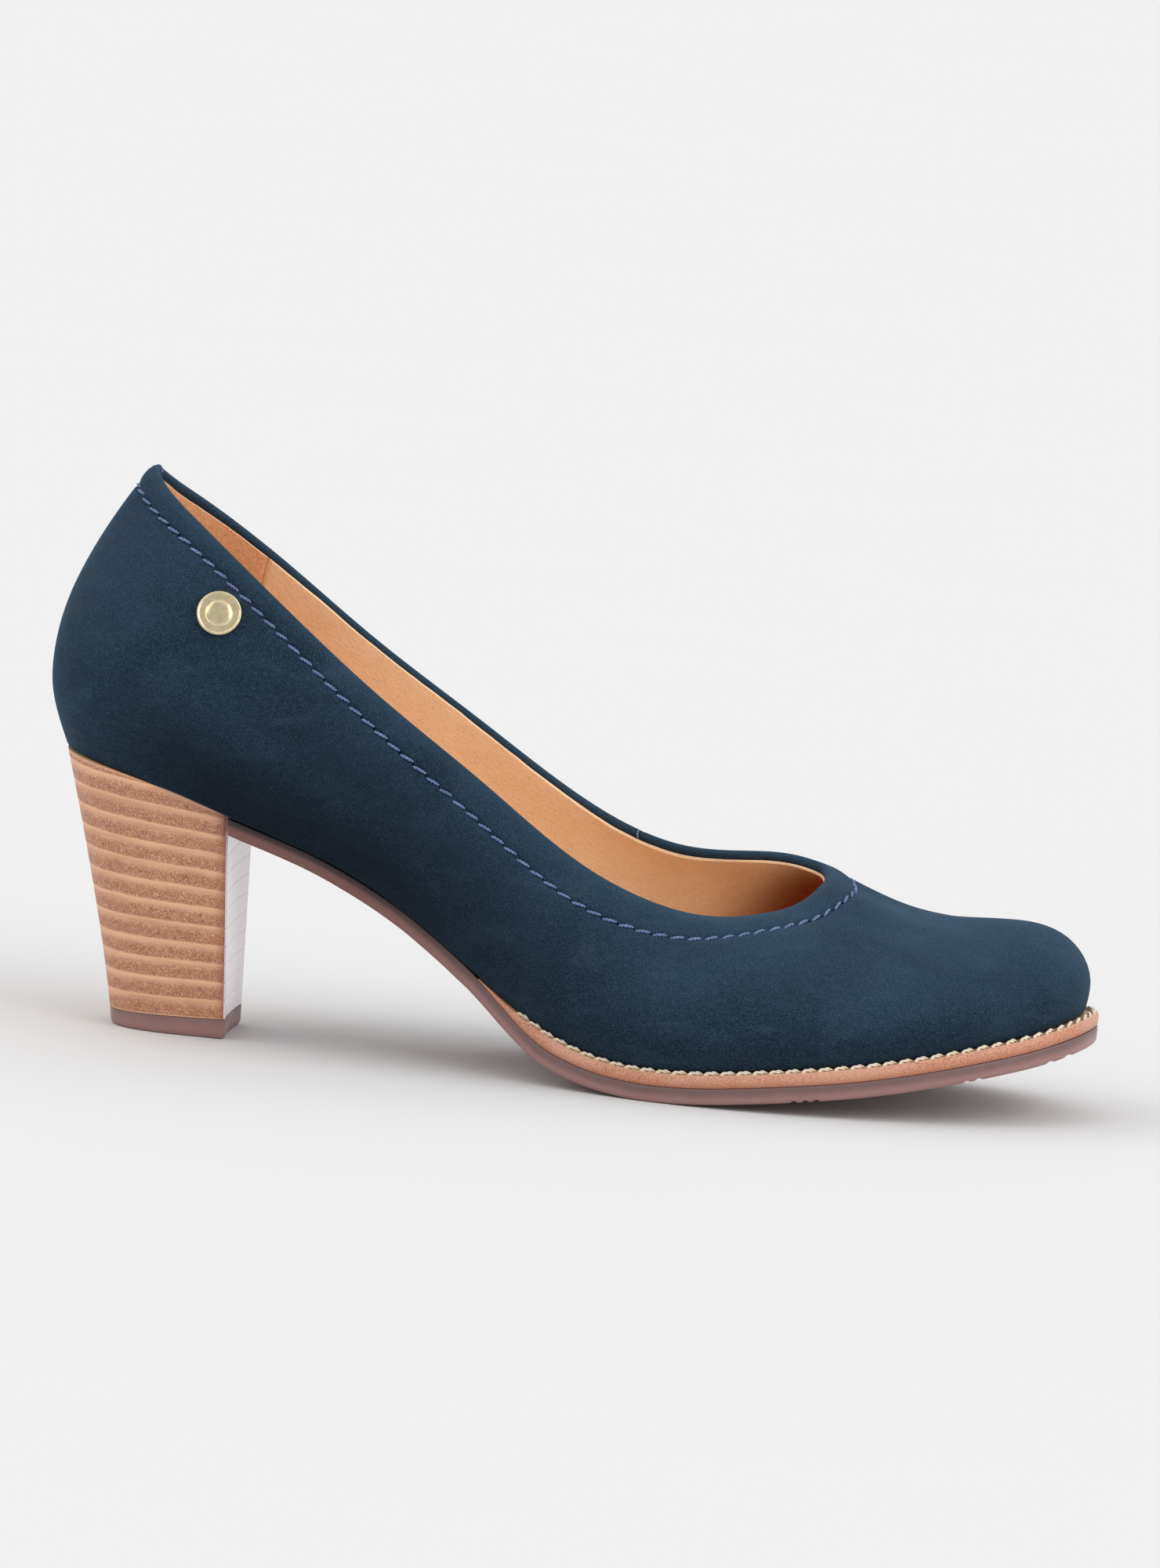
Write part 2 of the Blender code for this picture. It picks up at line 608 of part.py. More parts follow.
def heel_outline(z, inset=0.0, points=8):
    """Plan of the heel at height z: (x, y) from the outer breast corner round the back."""
    share = z / HEEL_SEAT_HEIGHT
    back = HEEL_TREAD_BACK + (HEEL_TOP_BACK - HEEL_TREAD_BACK) * share**1.2 + inset
    front = breast_x(z) - inset
    half = HEEL_TREAD_HALF_WIDTH + (HEEL_TOP_HALF_WIDTH - HEEL_TREAD_HALF_WIDTH) * share**1.1 - inset
    middle = back + 0.6 * (front - back)
    corner, hollow, squareness = 1.2, 0.5, 2.4
    plan = [(front - hollow, -half * 0.45), (front, -half + corner), (front - corner, -half)]
    for k in range(points + 1):
        angle = math.pi / 2 * k / points
        along = math.cos(angle) ** (2 / squareness) if k < points else 0.0
        aside = math.sin(angle) ** (2 / squareness)
        plan.append((middle - (middle - back) * aside, -half * along))
    return plan + [(x, -y) for x, y in reversed(plan[:-1])]


def lift_plane(number, x):
    """Height at x of the joint above lift number; 0 is the top piece's joint."""
    share = x / HEEL_TREAD_FRONT
    low = TOP_PIECE[0] + number * LIFT_BACK
    high = TOP_PIECE[1] + number * LIFT_FRONT
    return low + (high - low) * share


def heel_ring(number, shift, inset=0.0):
    """The heel's outline on a joint plane, moved up by shift."""
    z = lift_plane(number, 5.0) + shift
    return [(x, y, lift_plane(number, x) + shift) for x, y in heel_outline(z, inset)]


def seat_cutter():
    """Everything above the heel seat."""
    rings = []
    for x in np.linspace(-32, 40, 13):
        low = float(feather_height(x)) - GAP
        rings.append([(x, -40, low), (x, -40, 100), (x, 40, 100), (x, 40, low)])
    return loft("seat_cutter", rings, None)


def build_heel():
    """The rubber top piece and the leather lifts stacked on it, cut to the heel seat."""
    bottom = [(x, y, 0.0) for x, y in heel_outline(0.0, inset=0.5)]
    edge = [(x, y, 0.7) for x, y in heel_outline(0.7)]
    loft("heel_top_piece", [bottom, edge, heel_ring(0, -GAP)], "brown_rubber")
    cutter = seat_cutter()
    lifts = []
    for number in range(1, LIFTS + 1):
        rings = [heel_ring(number - 1, 0.0), heel_ring(number, -GAP)]
        lift = loft(f"heel_lift_{number:02d}", rings, "heel_leather")
        if lift_plane(number, 0) > 50:
            cut(lift, cutter, HEEL_SOLVER)
        lifts.append(lift)
    return lifts


def fastener(name, place, radius, head_radius, length, pieces):
    """A nail or screw, square to the heel seat, with its head sunk in the insole board.
    Each piece it passes through gets a hole."""
    x, y = place
    slope = float(feather_height(x + 0.5) - feather_height(x - 0.5))
    axis = Vector((-slope, 0, 1)).normalized()
    top = Vector((x, y, float(feather_height(x)))) + axis * INSOLE_BOARD[1]
    head, clear = 0.9, 0.35
    profile = (
        (0, -length), (radius, -length + 2 * radius), (radius, -head - 0.2),
        (head_radius, -head), (head_radius, -0.15), (0, -0.15),
    )
    turned(name, profile, top, axis, "steel", sides=12)
    room = (
        (0, -length - 0.5), (radius + clear, -length - 0.5), (radius + clear, -head - 0.5),
        (head_radius + clear, -head - 0.3), (head_radius + clear, 1.2), (0, 1.2),
    )
    cutter = turned(name + "_hole", room, top, axis, None, sides=12)
    for piece in pieces:
        cut(piece, cutter, HEEL_SOLVER)


def build_fasteners(lifts, bottom_pieces):
    fastener("heel_screw", (12, 0.5), 2.0, 3.8, 36, lifts[5:] + bottom_pieces)
    for number, place in enumerate(((4, -7.5), (4, 7.5), (19, -10), (19, 10)), 1):
        fastener(f"heel_nail_{number}", place, 1.0, 2.0, 22, lifts[7:] + bottom_pieces[:2])


# ---------------------------------------------------------------- the whole shoe


def clear_scene():
    for old in list(bpy.data.objects):
        bpy.data.objects.remove(old)


def stand_on_origin():
    """Moves the shoe so that the middle of its box is over the origin."""
    bpy.context.view_layer.update()
    corners = [
        piece.matrix_world @ Vector(corner)
        for piece in shoe.children
        if not piece.hide_render
        for corner in piece.bound_box
    ]
    low = Vector(map(min, zip(*corners)))
    high = Vector(map(max, zip(*corners)))
    shoe.location = (-(low.x + high.x) / 2, -(low.y + high.y) / 2, -low.z)


clear_scene()
make_materials()
shoe = bpy.data.objects.new("shoe", None)
bpy.context.scene.collection.objects.link(shoe)

vamp_piece = build_upper()
build_linings()
build_stiffeners()
build_topline_thread()
build_badge(vamp_piece)
build_outsole()
build_welt()
build_welt_thread()
board_piece, shank_board_piece = build_insole()
shank_piece = build_shank()
heel_lifts = build_heel()
build_fasteners(heel_lifts, [board_piece, shank_board_piece, shank_piece])
stand_on_origin()
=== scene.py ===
"""Looks of the high heel pump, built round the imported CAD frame.

Lengths are in millimetres in the frame of the last, whose zero is on the ground at the
back of the heel, and place() turns them into metres in the row frame. The last is the one that
part.py uses: ribs from the feather edge, where the upper turns under the insole, up to
the topline. A point on the upper is given by its station round the shoe, its distance
below the topline and its depth under the outer surface.
"""

import math

import bmesh
import bpy
import numpy as np
from mathutils import Matrix, Vector


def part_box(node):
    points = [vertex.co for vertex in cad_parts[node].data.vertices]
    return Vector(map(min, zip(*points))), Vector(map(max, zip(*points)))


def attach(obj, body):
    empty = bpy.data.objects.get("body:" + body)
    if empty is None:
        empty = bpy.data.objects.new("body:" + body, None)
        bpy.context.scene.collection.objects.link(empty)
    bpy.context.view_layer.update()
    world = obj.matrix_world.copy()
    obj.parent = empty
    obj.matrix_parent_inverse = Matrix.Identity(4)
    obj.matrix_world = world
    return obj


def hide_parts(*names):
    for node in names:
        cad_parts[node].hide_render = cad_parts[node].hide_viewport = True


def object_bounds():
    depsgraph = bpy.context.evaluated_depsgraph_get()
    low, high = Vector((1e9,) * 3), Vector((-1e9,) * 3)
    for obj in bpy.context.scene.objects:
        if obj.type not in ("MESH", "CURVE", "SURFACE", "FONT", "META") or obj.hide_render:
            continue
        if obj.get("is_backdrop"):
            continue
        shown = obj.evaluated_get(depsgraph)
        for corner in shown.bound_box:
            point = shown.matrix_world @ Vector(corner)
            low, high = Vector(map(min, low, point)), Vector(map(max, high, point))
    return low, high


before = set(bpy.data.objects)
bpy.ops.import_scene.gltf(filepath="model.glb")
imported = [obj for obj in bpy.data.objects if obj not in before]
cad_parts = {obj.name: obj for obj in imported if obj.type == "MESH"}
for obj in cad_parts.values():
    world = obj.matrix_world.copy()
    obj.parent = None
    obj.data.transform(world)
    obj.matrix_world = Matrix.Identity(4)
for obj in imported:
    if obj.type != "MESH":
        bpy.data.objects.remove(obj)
cad_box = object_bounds()

MM = 0.001
BODY = "root"
SHARP_ANGLE = 50  # degrees between faces that meet in a sharp edge

# The last and its layers, as in part.py
FEATHER = (
    (-24, 65.0), (-15, 63.4), (8, 59.0), (30, 52.0), (46, 46.7), (58, 41.4), (70, 34.8),
    (82, 26.6), (94, 18.4), (106, 12.0), (118, 8.3), (134, 7.2), (156, 9.2),
    (178, 12.3), (198, 16.4), (208, 18.8), (218, 21.4), (226, 24.0), (232, 26.0),
)
# Ribs of the last, from the back of the heel round the outer side, the toe and the
# inner side. Each starts on the feather edge (x, y) and goes up to the topline (x, y, z).
RIBS = (
    ((-14.7, 0), (-19.4, 0, 76.5), (-19, 0, 90.5),
     (-14.9, 0, 104), (-8.3, 0, 117), (-0.1, 0, 129.9)),
    ((-8.5, -15.2), (-11.8, -17.8, 75.5), (-11.6, -17.8, 89),
     (-8.4, -15.8, 102), (-2.5, -12.8, 114.5), (4, -9.3, 126.2)),
    ((8, -24), (7, -27.5, 71), (7.5, -28.3, 83),
     (9, -26.5, 95), (11.5, -22.5, 107), (14.5, -17.5, 118.9)),
    ((30, -25.5), (30, -29.5, 62.5), (30, -30, 74), (30.5, -28.5, 85.5),
     (31.5, -25.5, 96), (33, -22, 104.8)),
    ((58, -24.5), (58, -29, 49.5), (58, -30.3, 58.5), (58, -29.5, 67.5),
     (58.5, -27.3, 76.5), (59.5, -24.5, 84.6)),
    ((86, -27.5), (86, -32.5, 31.5), (86, -34, 40.5), (86, -33, 49.5),
     (86, -30.3, 58.3), (86.5, -26.8, 66.6)),
    ((112, -36), (112, -40.5, 16.5), (112, -41, 25), (112, -38.5, 34),
     (112, -33.8, 42.5), (112.5, -27.8, 49.8)),
    ((136, -41), (137, -45, 13.5), (137, -45, 21.5), (136.5, -41, 29.5),
     (136, -33.5, 36.5), (135, -23.8, 42.0)),
    ((160, -40.5), (161, -43.5, 16), (161, -42.3, 24), (159, -36.5, 31.5),
     (155, -26.5, 38), (149.5, -16, 42.2)),
    ((183, -36), (184.5, -38.5, 20), (183.5, -36, 27.5), (179, -28, 34),
     (170, -17.5, 40), (157.5, -9, 44.6)),
    ((203, -28), (205, -29.5, 24.5), (203, -26, 31.5),
     (195, -18, 37), (180, -9, 42), (161.3, -2.5, 47.7)),
    ((218, -15), (220, -15.5, 29), (217.5, -12.5, 36.4), (206.5, -7, 40.8),
     (185, -1.5, 42.3), (162.5, 2.5, 49.2)),
    ((224.5, 4), (225.3, 4, 31), (221.3, 4.5, 38.6), (209, 6, 43.2),
     (184.5, 7.5, 42.6), (162.3, 6.5, 50.2)),
    ((219, 19.5), (220.5, 20.5, 29), (217.5, 18.5, 36.4),
     (205.5, 16.5, 41.2), (184.5, 13.5, 42.3), (161, 10.5, 51)),
    ((203, 30.5), (204.5, 32, 24.5), (201.5, 29.5, 32), (192, 24.5, 38.3),
     (175.5, 18.5, 43.6), (157.5, 13.5, 51.8)),
    ((182, 35.5), (183, 38, 20), (181, 36.5, 28.5),
     (175, 31.5, 36.5), (163, 24.5, 45), (150, 17, 52.2)),
    ((158, 37), (158.5, 40, 17), (157.5, 39.5, 26.5), (154, 35.5, 36),
     (147, 28.5, 45), (138.5, 20.5, 51.1)),
    ((132, 33), (132, 37, 15.5), (131.5, 37.8, 25.5), (130, 35.5, 35.5),
     (127, 30.5, 45), (123.5, 23.5, 51.3)),
    ((105, 24.5), (104.5, 29.5, 21.5), (104, 32, 32), (103.5, 31.5, 42.5),
     (103, 28.5, 52), (102.5, 24.8, 59.5)),
    ((78, 20), (77.5, 25.5, 38.5), (77, 28.5, 48.5), (76.5, 29, 58.5),
     (76.5, 27.3, 67.5), (76.8, 24.8, 75.4)),
    ((50, 21.5), (49.5, 26, 54), (49.5, 28.3, 64),
     (49.5, 28, 74), (50, 26, 84), (51, 23.7, 92.0)),
    ((25, 24.5), (24.5, 28.3, 64.5), (24.5, 29.5, 76),
     (25, 28.5, 87.5), (26, 25.5, 99), (28, 21.6, 108.8)),
    ((4, 22.5), (2.5, 26, 72), (2.8, 26.5, 84.5),
     (5, 24.5, 97), (8, 20.5, 109), (11.5, 16, 120.3)),
    ((-9.5, 14), (-12.8, 16, 75.5), (-12.8, 16, 89), (-9.5, 14.3, 102),
     (-3.5, 11.8, 114.5), (3.5, 8.7, 126.2)),
)
TOE_RIB = len(RIBS) // 2
SOLE_THICK = 3.2
WELT_THICK = 3.2
WELT_MARGIN = 2.5  # how far welt and sole stand out beyond the feather edge
TOE_MARGIN = 3.3  # the same at the toe
WELT_INNER = 8.0
WELT_START, WELT_FULL = 88.0, 108.0
WELT_SEAM_IN = 1.35  # distance of its stitches from its edge
UPPER = (0.0, 1.3)  # depths below the outer surface
STIFFENER, STIFFENER_ROWS = (1.6, 2.4), (0.94, 0.3)
TAPE, TAPE_ROWS = (1.5, 2.1), (9.5, 5.7)
LINING = (2.7, 3.4)
LINING_TURN = (1.6, 2.3)  # heights above the feather edge
FOAM = (4.7, 6.7)
SOCK = (7.0, 7.8)
HEEL_TREAD_FRONT = 28.7
HEEL_TREAD_HALF_WIDTH = 13.7
HEEL_TREAD_BACK = 0.4
HEEL_TOP_BACK = -14.4
HEEL_TOP_HALF_WIDTH = 24.2
HEEL_TOP_BREAST = 26.0
HEEL_SEAT_HEIGHT = 63.0
TOP_PIECE = (3.9, 4.7)
LIFT_BACK, LIFT_FRONT = 4.65, 4.3
LIFTS = 13
SEAM_DROP = (6.0, 10.5, 7.5)  # distance of the topline seam from the edge: back, sides, throat
BADGE_X, BADGE_DROP = 21.4, 13.8
SEAM_X = 117.0  # where the inner quarter meets the vamp at the topline
GRIP_X = 26.0  # front edge of the heel grip
COUNTER_X = (50, 48)  # front ends of the heel counter, outer and inner
PUFF_X = 190  # back ends of the toe puff

# What only shows close up
FOLD = 2.2  # thickness of the folded topline
FOLD_STEPS = 9  # points round it
SEAM_GROOVE = (0.45, 0.75)  # depth and half width of the groove along the topline seam
EDGE_PUFF = 0.32  # swelling between that groove and the fold
BACK_VALLEY, SIDE_VALLEY, VALLEY_WIDTH = 0.5, 0.08, 0.8  # where two panels meet
LINING_VALLEY, LINING_VALLEY_WIDTH = 0.45, 0.6  # the same in the lining
LINING_LEAN = (0.35, 3)  # how far the cut edge leans to the fold, and over what distance
FOOT = 0.8  # rounding of the feather edge
LINING_EDGE = (1.9, 1.0)  # distance of the lining's cut edge below the topline: back, sides
STITCH_STEPS, PLIES, PLY_SIDES = 15, 2, 8
TOPLINE_STITCH = {"pitch": 4.0, "length": 3.5, "radius": 0.4, "slant": 0.75, "sink": 0.25, "twist": 2.1}
TIE_STITCH = {"pitch": 2.4, "length": 2.2, "radius": 0.26, "slant": 0.3, "sink": 0.2, "twist": 2.1}
WELT_STITCH = {"pitch": 3.7, "length": 3.5, "radius": 0.48, "slant": 1.1, "sink": 0.35, "twist": 1.1}
# First x, pitch and number of the grooves in each group of the tread
TREAD_GROUPS = (
    (62, 3.6, 4), (84, 3.6, 3), (128, 3.4, 4), (150, 3.4, 4), (172, 3.4, 3), (194, 4.2, 5),
)
TREAD_DEPTH, TREAD_WIDTH = 0.5, 0.5
SOLE_BACK = 45.0  # about the height at which the sole meets the heel's breast
# The few grooves that run out through the edge of the sole
EDGE_NOTCHES = (164.0, 166.6, 169.2, 202.0, 204.6, 219.5, 223.0)
NOTCH_DEPTH, NOTCH_WIDTH = 0.45, 0.55

# The stage: metres, and the strengths of the world and of the three suns
CAMERA_TARGET = (0.0006, 0.0, 0.0658)
CAMERA_DISTANCE = 4.5045
WORLD_LIGHT, KEY_LIGHT, BACK_LIGHT, TOP_LIGHT = 0.64, 1.31, 0.85, 0.68


# ---------------------------------------------------------------- the last


def spline(knots, values, at, closed=False):
    """The cubic spline through values at knots, read at the parameters at."""
    t = np.asarray(knots, float)
    p = np.asarray(values, float)
    at = np.atleast_1d(np.asarray(at, float))
    n = len(t) - 1
    h = np.diff(t)
    slope = np.diff(p, axis=0) / h[:, None]
    rows = np.zeros((n + 1, n + 1))
    right = np.zeros((n + 1, p.shape[1]))
    for i in range(1, n):
        rows[i, i - 1 : i + 2] = h[i - 1], 2 * (h[i - 1] + h[i]), h[i]
        right[i] = 6 * (slope[i] - slope[i - 1])
    if closed:
        rows[0, 0], rows[0, n] = 1, -1
        rows[n, 0], rows[n, 1] = 2 * h[0], h[0]
        rows[n, n - 1], rows[n, n] = h[-1], 2 * h[-1]
        right[n] = 6 * (slope[0] - slope[-1])
        at = t[0] + (at - t[0]) % (t[-1] - t[0])
    else:
        rows[0, 0] = rows[n, n] = 1
    bend = np.linalg.solve(rows, right)
    i = np.clip(np.searchsorted(t, at, side="right") - 1, 0, n - 1)
    a = (t[i + 1] - at)[:, None]
    b = (at - t[i])[:, None]
    step = h[i][:, None]
    return (
        (bend[i] * a**3 + bend[i + 1] * b**3) / (6 * step)
        + (p[i] / step - bend[i] * step / 6) * a
        + (p[i + 1] / step - bend[i + 1] * step / 6) * b
    )


def feather_height(x):
    """Height of the feather edge above the ground at x."""
    knots, heights = zip(*FEATHER)
    read = spline(knots, np.array(heights)[:, None], np.ravel(x))[:, 0]
    return read.reshape(np.shape(x))


def smooth(value, start, end):
    """0 before start, 1 after end, and an even S in between."""
    t = np.clip((value - start) / (end - start), 0, 1)
    return t * t * (3 - 2 * t)


def control_net():
    """The ribs as an array, with the feather edge's height filled in."""
    net = [[(x, y, float(feather_height(x))), *upper] for (x, y), *upper in RIBS]
    return np.array(net, float)


NET = control_net()
CLOSED_NET = np.concatenate([NET, NET[:1]])
RIB_HOPS = np.linalg.norm(np.diff(CLOSED_NET, axis=0), axis=2).mean(axis=1)
RIB_AT = np.concatenate([[0], np.cumsum(RIB_HOPS)]) / RIB_HOPS.sum()

ROUND_LENGTH = float(RIB_HOPS.sum())


def surface(us, vs):
    """Points on the outer surface, as an array [u][v]; u runs round, v runs up."""
    heights = np.linspace(0, 1, NET.shape[1])
    ribs = [spline(heights, rib, vs) for rib in CLOSED_NET]
    rings = np.array(ribs).reshape(len(CLOSED_NET), -1)
    return spline(RIB_AT, rings, us, closed=True).reshape(len(np.atleast_1d(us)), -1, 3)


def u_at(x, side, v=1.0):
    """The u of the rib that reaches x at share v of its height. side: -1 outer, 1 inner."""
    toe = float(RIB_AT[TOE_RIB])
    us = np.linspace(0, toe, 400) if side < 0 else np.linspace(1, toe, 400)
    return float(np.interp(x, surface(us, v)[:, 0, 0], us))


def find_shift():
    """From the last's frame to the row frame, both in mm, by the CAD vamp's corner."""
    low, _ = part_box("vamp_and_outer_quarter")
    between = (RIB_AT[1:] + RIB_AT[:-1]) / 2
    stations = np.sort(np.concatenate([RIB_AT[:-1], between]))
    shell = surface(stations, np.array([0.0, 0.06, 0.16, 0.32, 0.5, 0.7, 0.86, 1.0])).reshape(-1, 3)
    return np.array([low.x / MM - shell[:, 0].min(), low.y / MM - shell[:, 1].min(), 0.0])


SHIFT = find_shift()
SIDE_SEAM_U = u_at(SEAM_X, 1)
GRIP_U = (u_at(GRIP_X, -1), u_at(GRIP_X, 1))


# ---------------------------------------------------------------- lines on the upper


FINE = 81  # samples up each rib


class Ribs:
    """The outer surface along some stations, read by distance below the topline."""

    def __init__(self, us):
        shares = np.linspace(0, 1, FINE)
        self.us = np.asarray(us, float)
        self.points = surface(self.us, shares)
        step = 0.003
        along = surface(self.us + step, shares) - surface(self.us - step, shares)
        up = surface(self.us, np.minimum(shares + step, 1))
        up = up - surface(self.us, np.maximum(shares - step, 0))
        normals = np.cross(along, up)
        self.normals = normals / np.linalg.norm(normals, axis=2, keepdims=True)
        hops = np.linalg.norm(np.diff(self.points, axis=1), axis=2)
        rise = np.concatenate([np.zeros((len(self.us), 1)), np.cumsum(hops, axis=1)], axis=1)
        self.length = rise[:, -1]
        self.below = self.length[:, None] - rise
        self.top = self.points[:, -1]

    def read(self, table, below):
        """Values of a table at distances below the topline, an array [station][row]."""
        found = []
        index = np.arange(FINE)[::-1]
        for k, row in enumerate(below):
            at = np.interp(row, self.below[k, ::-1], index)
            low = np.clip(at.astype(int), 0, FINE - 2)
            share = (at - low)[:, None]
            found.append(table[k, low] * (1 - share) + table[k, low + 1] * share)
        return np.array(found)

    def at(self, below, depth):
        """Points at distances below the topline and depths under the surface."""
        normals = self.read(self.normals, below)
        normals /= np.linalg.norm(normals, axis=2, keepdims=True)
        return self.read(self.points, below) - normals * np.broadcast_to(depth, below.shape)[..., None]

    def seam_drop(self):
        """Distance of the topline seam below the edge."""
        x = self.top[:, 0]
        back, side, throat = SEAM_DROP
        return back + (side - back) * smooth(x, 20, 120) + (throat - side) * smooth(x, 130, 162)


def outward(us):
    """The horizontal direction away from the shoe, at the feather edge."""
    along = surface(us + 0.002, 0.0)[:, 0, :2] - surface(us - 0.002, 0.0)[:, 0, :2]
    along /= np.linalg.norm(along, axis=1, keepdims=True)
    return np.stack([along[:, 1], -along[:, 0]], axis=1)


def beside(us, offset, height):
    """Points beside the feather edge, moved outwards by offset and up by height."""
    point = surface(us, 0.0)[:, 0].copy()
    point[:, :2] += outward(us) * np.reshape(offset, (-1, 1))
    point[:, 2] = feather_height(point[:, 0]) + height
    return point


def waves(points, size, seed=0.0):
    """Smooth, repeatable unevenness between -1 and 1 over lumps of about this size."""
    p = np.asarray(points) / size * 2.2 + seed
    total = np.sin(p[..., 0] * 1.3 + 1.7 * np.sin(p[..., 1] * 0.9 + seed))
    total += np.sin(p[..., 1] * 1.7 + 1.3 * np.sin(p[..., 2] * 1.1 + 2.0))
    total += np.sin(p[..., 2] * 1.5 + 1.9 * np.sin(p[..., 0] * 0.8 + 4.0))
    return total / 3


# ---------------------------------------------------------------- meshes


def place(points):
    """From millimetres in the last's frame to metres in the row frame."""
    return (np.asarray(points, float).reshape(-1, 3) + SHIFT) * MM


def add_piece(name, points, faces, looks, replaced=(), values=None):
    """A visible piece that rides on the shoe and stands for CAD nodes. values holds numbers
    for each point, which the material reads as attributes."""
    mesh = bpy.data.meshes.new(name)
    mesh.from_pydata(place(points).tolist(), [], [tuple(map(int, face)) for face in faces])
    for key, numbers in (values or {}).items():
        numbers = np.asarray(numbers, np.float32)
        if numbers.ndim > 1:
            layer = mesh.attributes.new(key, "FLOAT_VECTOR", "POINT")
            layer.data.foreach_set("vector", numbers.ravel())
        else:
            layer = mesh.attributes.new(key, "FLOAT", "POINT")
            layer.data.foreach_set("value", numbers)
    piece = bpy.data.objects.new(name, mesh)
    bpy.context.scene.collection.objects.link(piece)
    for look in looks:
        mesh.materials.append(LOOKS[look])
    join_and_turn_out(mesh)
    mesh.shade_smooth()
    mesh.set_sharp_from_angle(angle=math.radians(SHARP_ANGLE))
    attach(piece, BODY)
    if replaced:
        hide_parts(*replaced)
    return piece


def join_and_turn_out(mesh):
    """Joins doubled points and turns the faces outwards."""
    work = bmesh.new()
    work.from_mesh(mesh)
    bmesh.ops.remove_doubles(work, verts=work.verts, dist=0.002 * MM)
    bmesh.ops.recalc_face_normals(work, faces=work.faces)
    work.to_mesh(mesh)
    work.free()


def ring_faces(count, size):
    """Quads between neighbouring rings of points."""
    faces = []
    for i in range(count - 1):
        a, b = i * size, (i + 1) * size
        faces += [(a + j, a + (j + 1) % size, b + (j + 1) % size, b + j) for j in range(size)]
    return faces


def end_faces(ring, base, top):
    """Triangles across the end of a thin wall, whose points go up one side to the index
    top and down the other."""
    chains, runs = [], []
    for chain in (list(range(top + 1)), list(range(len(ring) - 1, top, -1))):
        hops = np.linalg.norm(np.diff(ring[chain], axis=0), axis=1)
        run = np.concatenate([[0], np.cumsum(hops)])
        chains.append(chain)
        runs.append(run / run[-1])
    (up, down), (run_up, run_down) = chains, runs
    i = j = 0
    faces = []
    while i < len(up) - 1 or j < len(down) - 1:
        if j == len(down) - 1 or (i < len(up) - 1 and run_up[i + 1] <= run_down[j + 1]):
            faces.append((base + up[i], base + up[i + 1], base + down[j]))
            i += 1
        else:
            faces.append((base + up[i], base + down[j + 1], base + down[j]))
            j += 1
    return faces


def wall_faces(grid, top):
    """Faces of an open-ended strip of wall, its two ends closed."""
    count, size = grid.shape[:2]
    faces = ring_faces(count, size)
    return faces + end_faces(grid[0], 0, top) + end_faces(grid[-1], (count - 1) * size, top)


def sample_path(path, ups, lengths):
    """Points, up directions and tangents at given lengths along a line of points."""
    hops = np.linalg.norm(np.diff(path, axis=0), axis=1)
    run = np.concatenate([[0], np.cumsum(hops)])

    def read(values, at):
        return np.stack([np.interp(at, run, values[:, k]) for k in range(3)], axis=-1)

    tangent = read(path, lengths + 0.3) - read(path, lengths - 0.3)
    tangent /= np.linalg.norm(tangent, axis=-1, keepdims=True)
    up = read(ups, lengths)
    up -= tangent * (up * tangent).sum(-1, keepdims=True)
    up /= np.linalg.norm(up, axis=-1, keepdims=True)
    return read(path, lengths), up, tangent


def copies(faces, size, count):
    """The faces of one block of points, once for each block of that size."""
    return [tuple(k * size + corner for corner in face) for k in range(count) for face in faces]


def stitches(path, ups, pitch, length, radius, slant, sink, twist):
    """Twisted thread in stitches along a line: points, faces, and where each stitch enters
    and leaves, with the up directions there."""
    total = np.linalg.norm(np.diff(path, axis=0), axis=1).sum()
    count = int(round(total / pitch))
    t = np.linspace(0, 1, STITCH_STEPS)
    lengths = (np.arange(count)[:, None] + 0.5) * total / count + (t - 0.5) * length
    middle, up, tangent = sample_path(path, ups, lengths)
    side = np.cross(up, tangent)
    arch = np.sin(math.pi * t) ** 0.45
    uneven = 0.12 * np.sin(np.arange(count) * 2.4)[:, None]
    swerve = (t - 0.5) * (slant + uneven) + uneven * 0.5
    middle = middle + up * ((arch - sink) * radius)[:, None] + side * swerve[..., None]
    turn = np.arange(PLY_SIDES) * 2 * math.pi / PLY_SIDES
    taper = (0.5 + 0.5 * np.sin(math.pi * t) ** 0.5) * radius
    block = STITCH_STEPS * PLY_SIDES
    quads = ring_faces(STITCH_STEPS, PLY_SIDES)
    quads += [tuple(range(PLY_SIDES)), tuple(range(block - PLY_SIDES, block))]
    points = []
    for ply in range(PLIES):
        angle = 2 * math.pi * (twist * t + ply / PLIES)
        swing = side * np.cos(angle)[:, None] + up * np.sin(angle)[:, None]
        centre = middle + swing * (0.42 * taper)[:, None]
        ring = side[:, :, None] * np.cos(turn)[:, None] + up[:, :, None] * np.sin(turn)[:, None]
        ring = centre[:, :, None] + ring * (0.6 * taper)[:, None, None]
        points.append(ring.reshape(-1, 3))
    faces = copies(quads, block, PLIES * count)
    ends = np.concatenate([middle[:, 0], middle[:, -1]])
    return np.concatenate(points), faces, ends, np.concatenate([up[:, 0], up[:, -1]])


def discs(centres, ups, radius, height):
    """Small flat domes, such as the dark domes painted as the shadow in the needle holes of a seam."""
    sides = 8
    turn = (np.arange(sides) * 2 * math.pi / sides)[:, None]
    across = np.cross(ups, (0.3, 0.2, 0.9))
    across /= np.linalg.norm(across, axis=1, keepdims=True)
    along = np.cross(ups, across)
    ring = across[:, None] * np.cos(turn) + along[:, None] * np.sin(turn)
    rows = [
        centres[:, None] + ring * radius * scale + ups[:, None] * rise
        for scale, rise in ((1.0, -height), (0.8, height * 0.6), (0.35, height))
    ]
    faces = ring_faces(3, sides) + [tuple(range(sides)), tuple(range(2 * sides, 3 * sides))]
    return np.stack(rows, axis=1).reshape(-1, 3), copies(faces, 3 * sides, len(centres))


# ---------------------------------------------------------------- materials


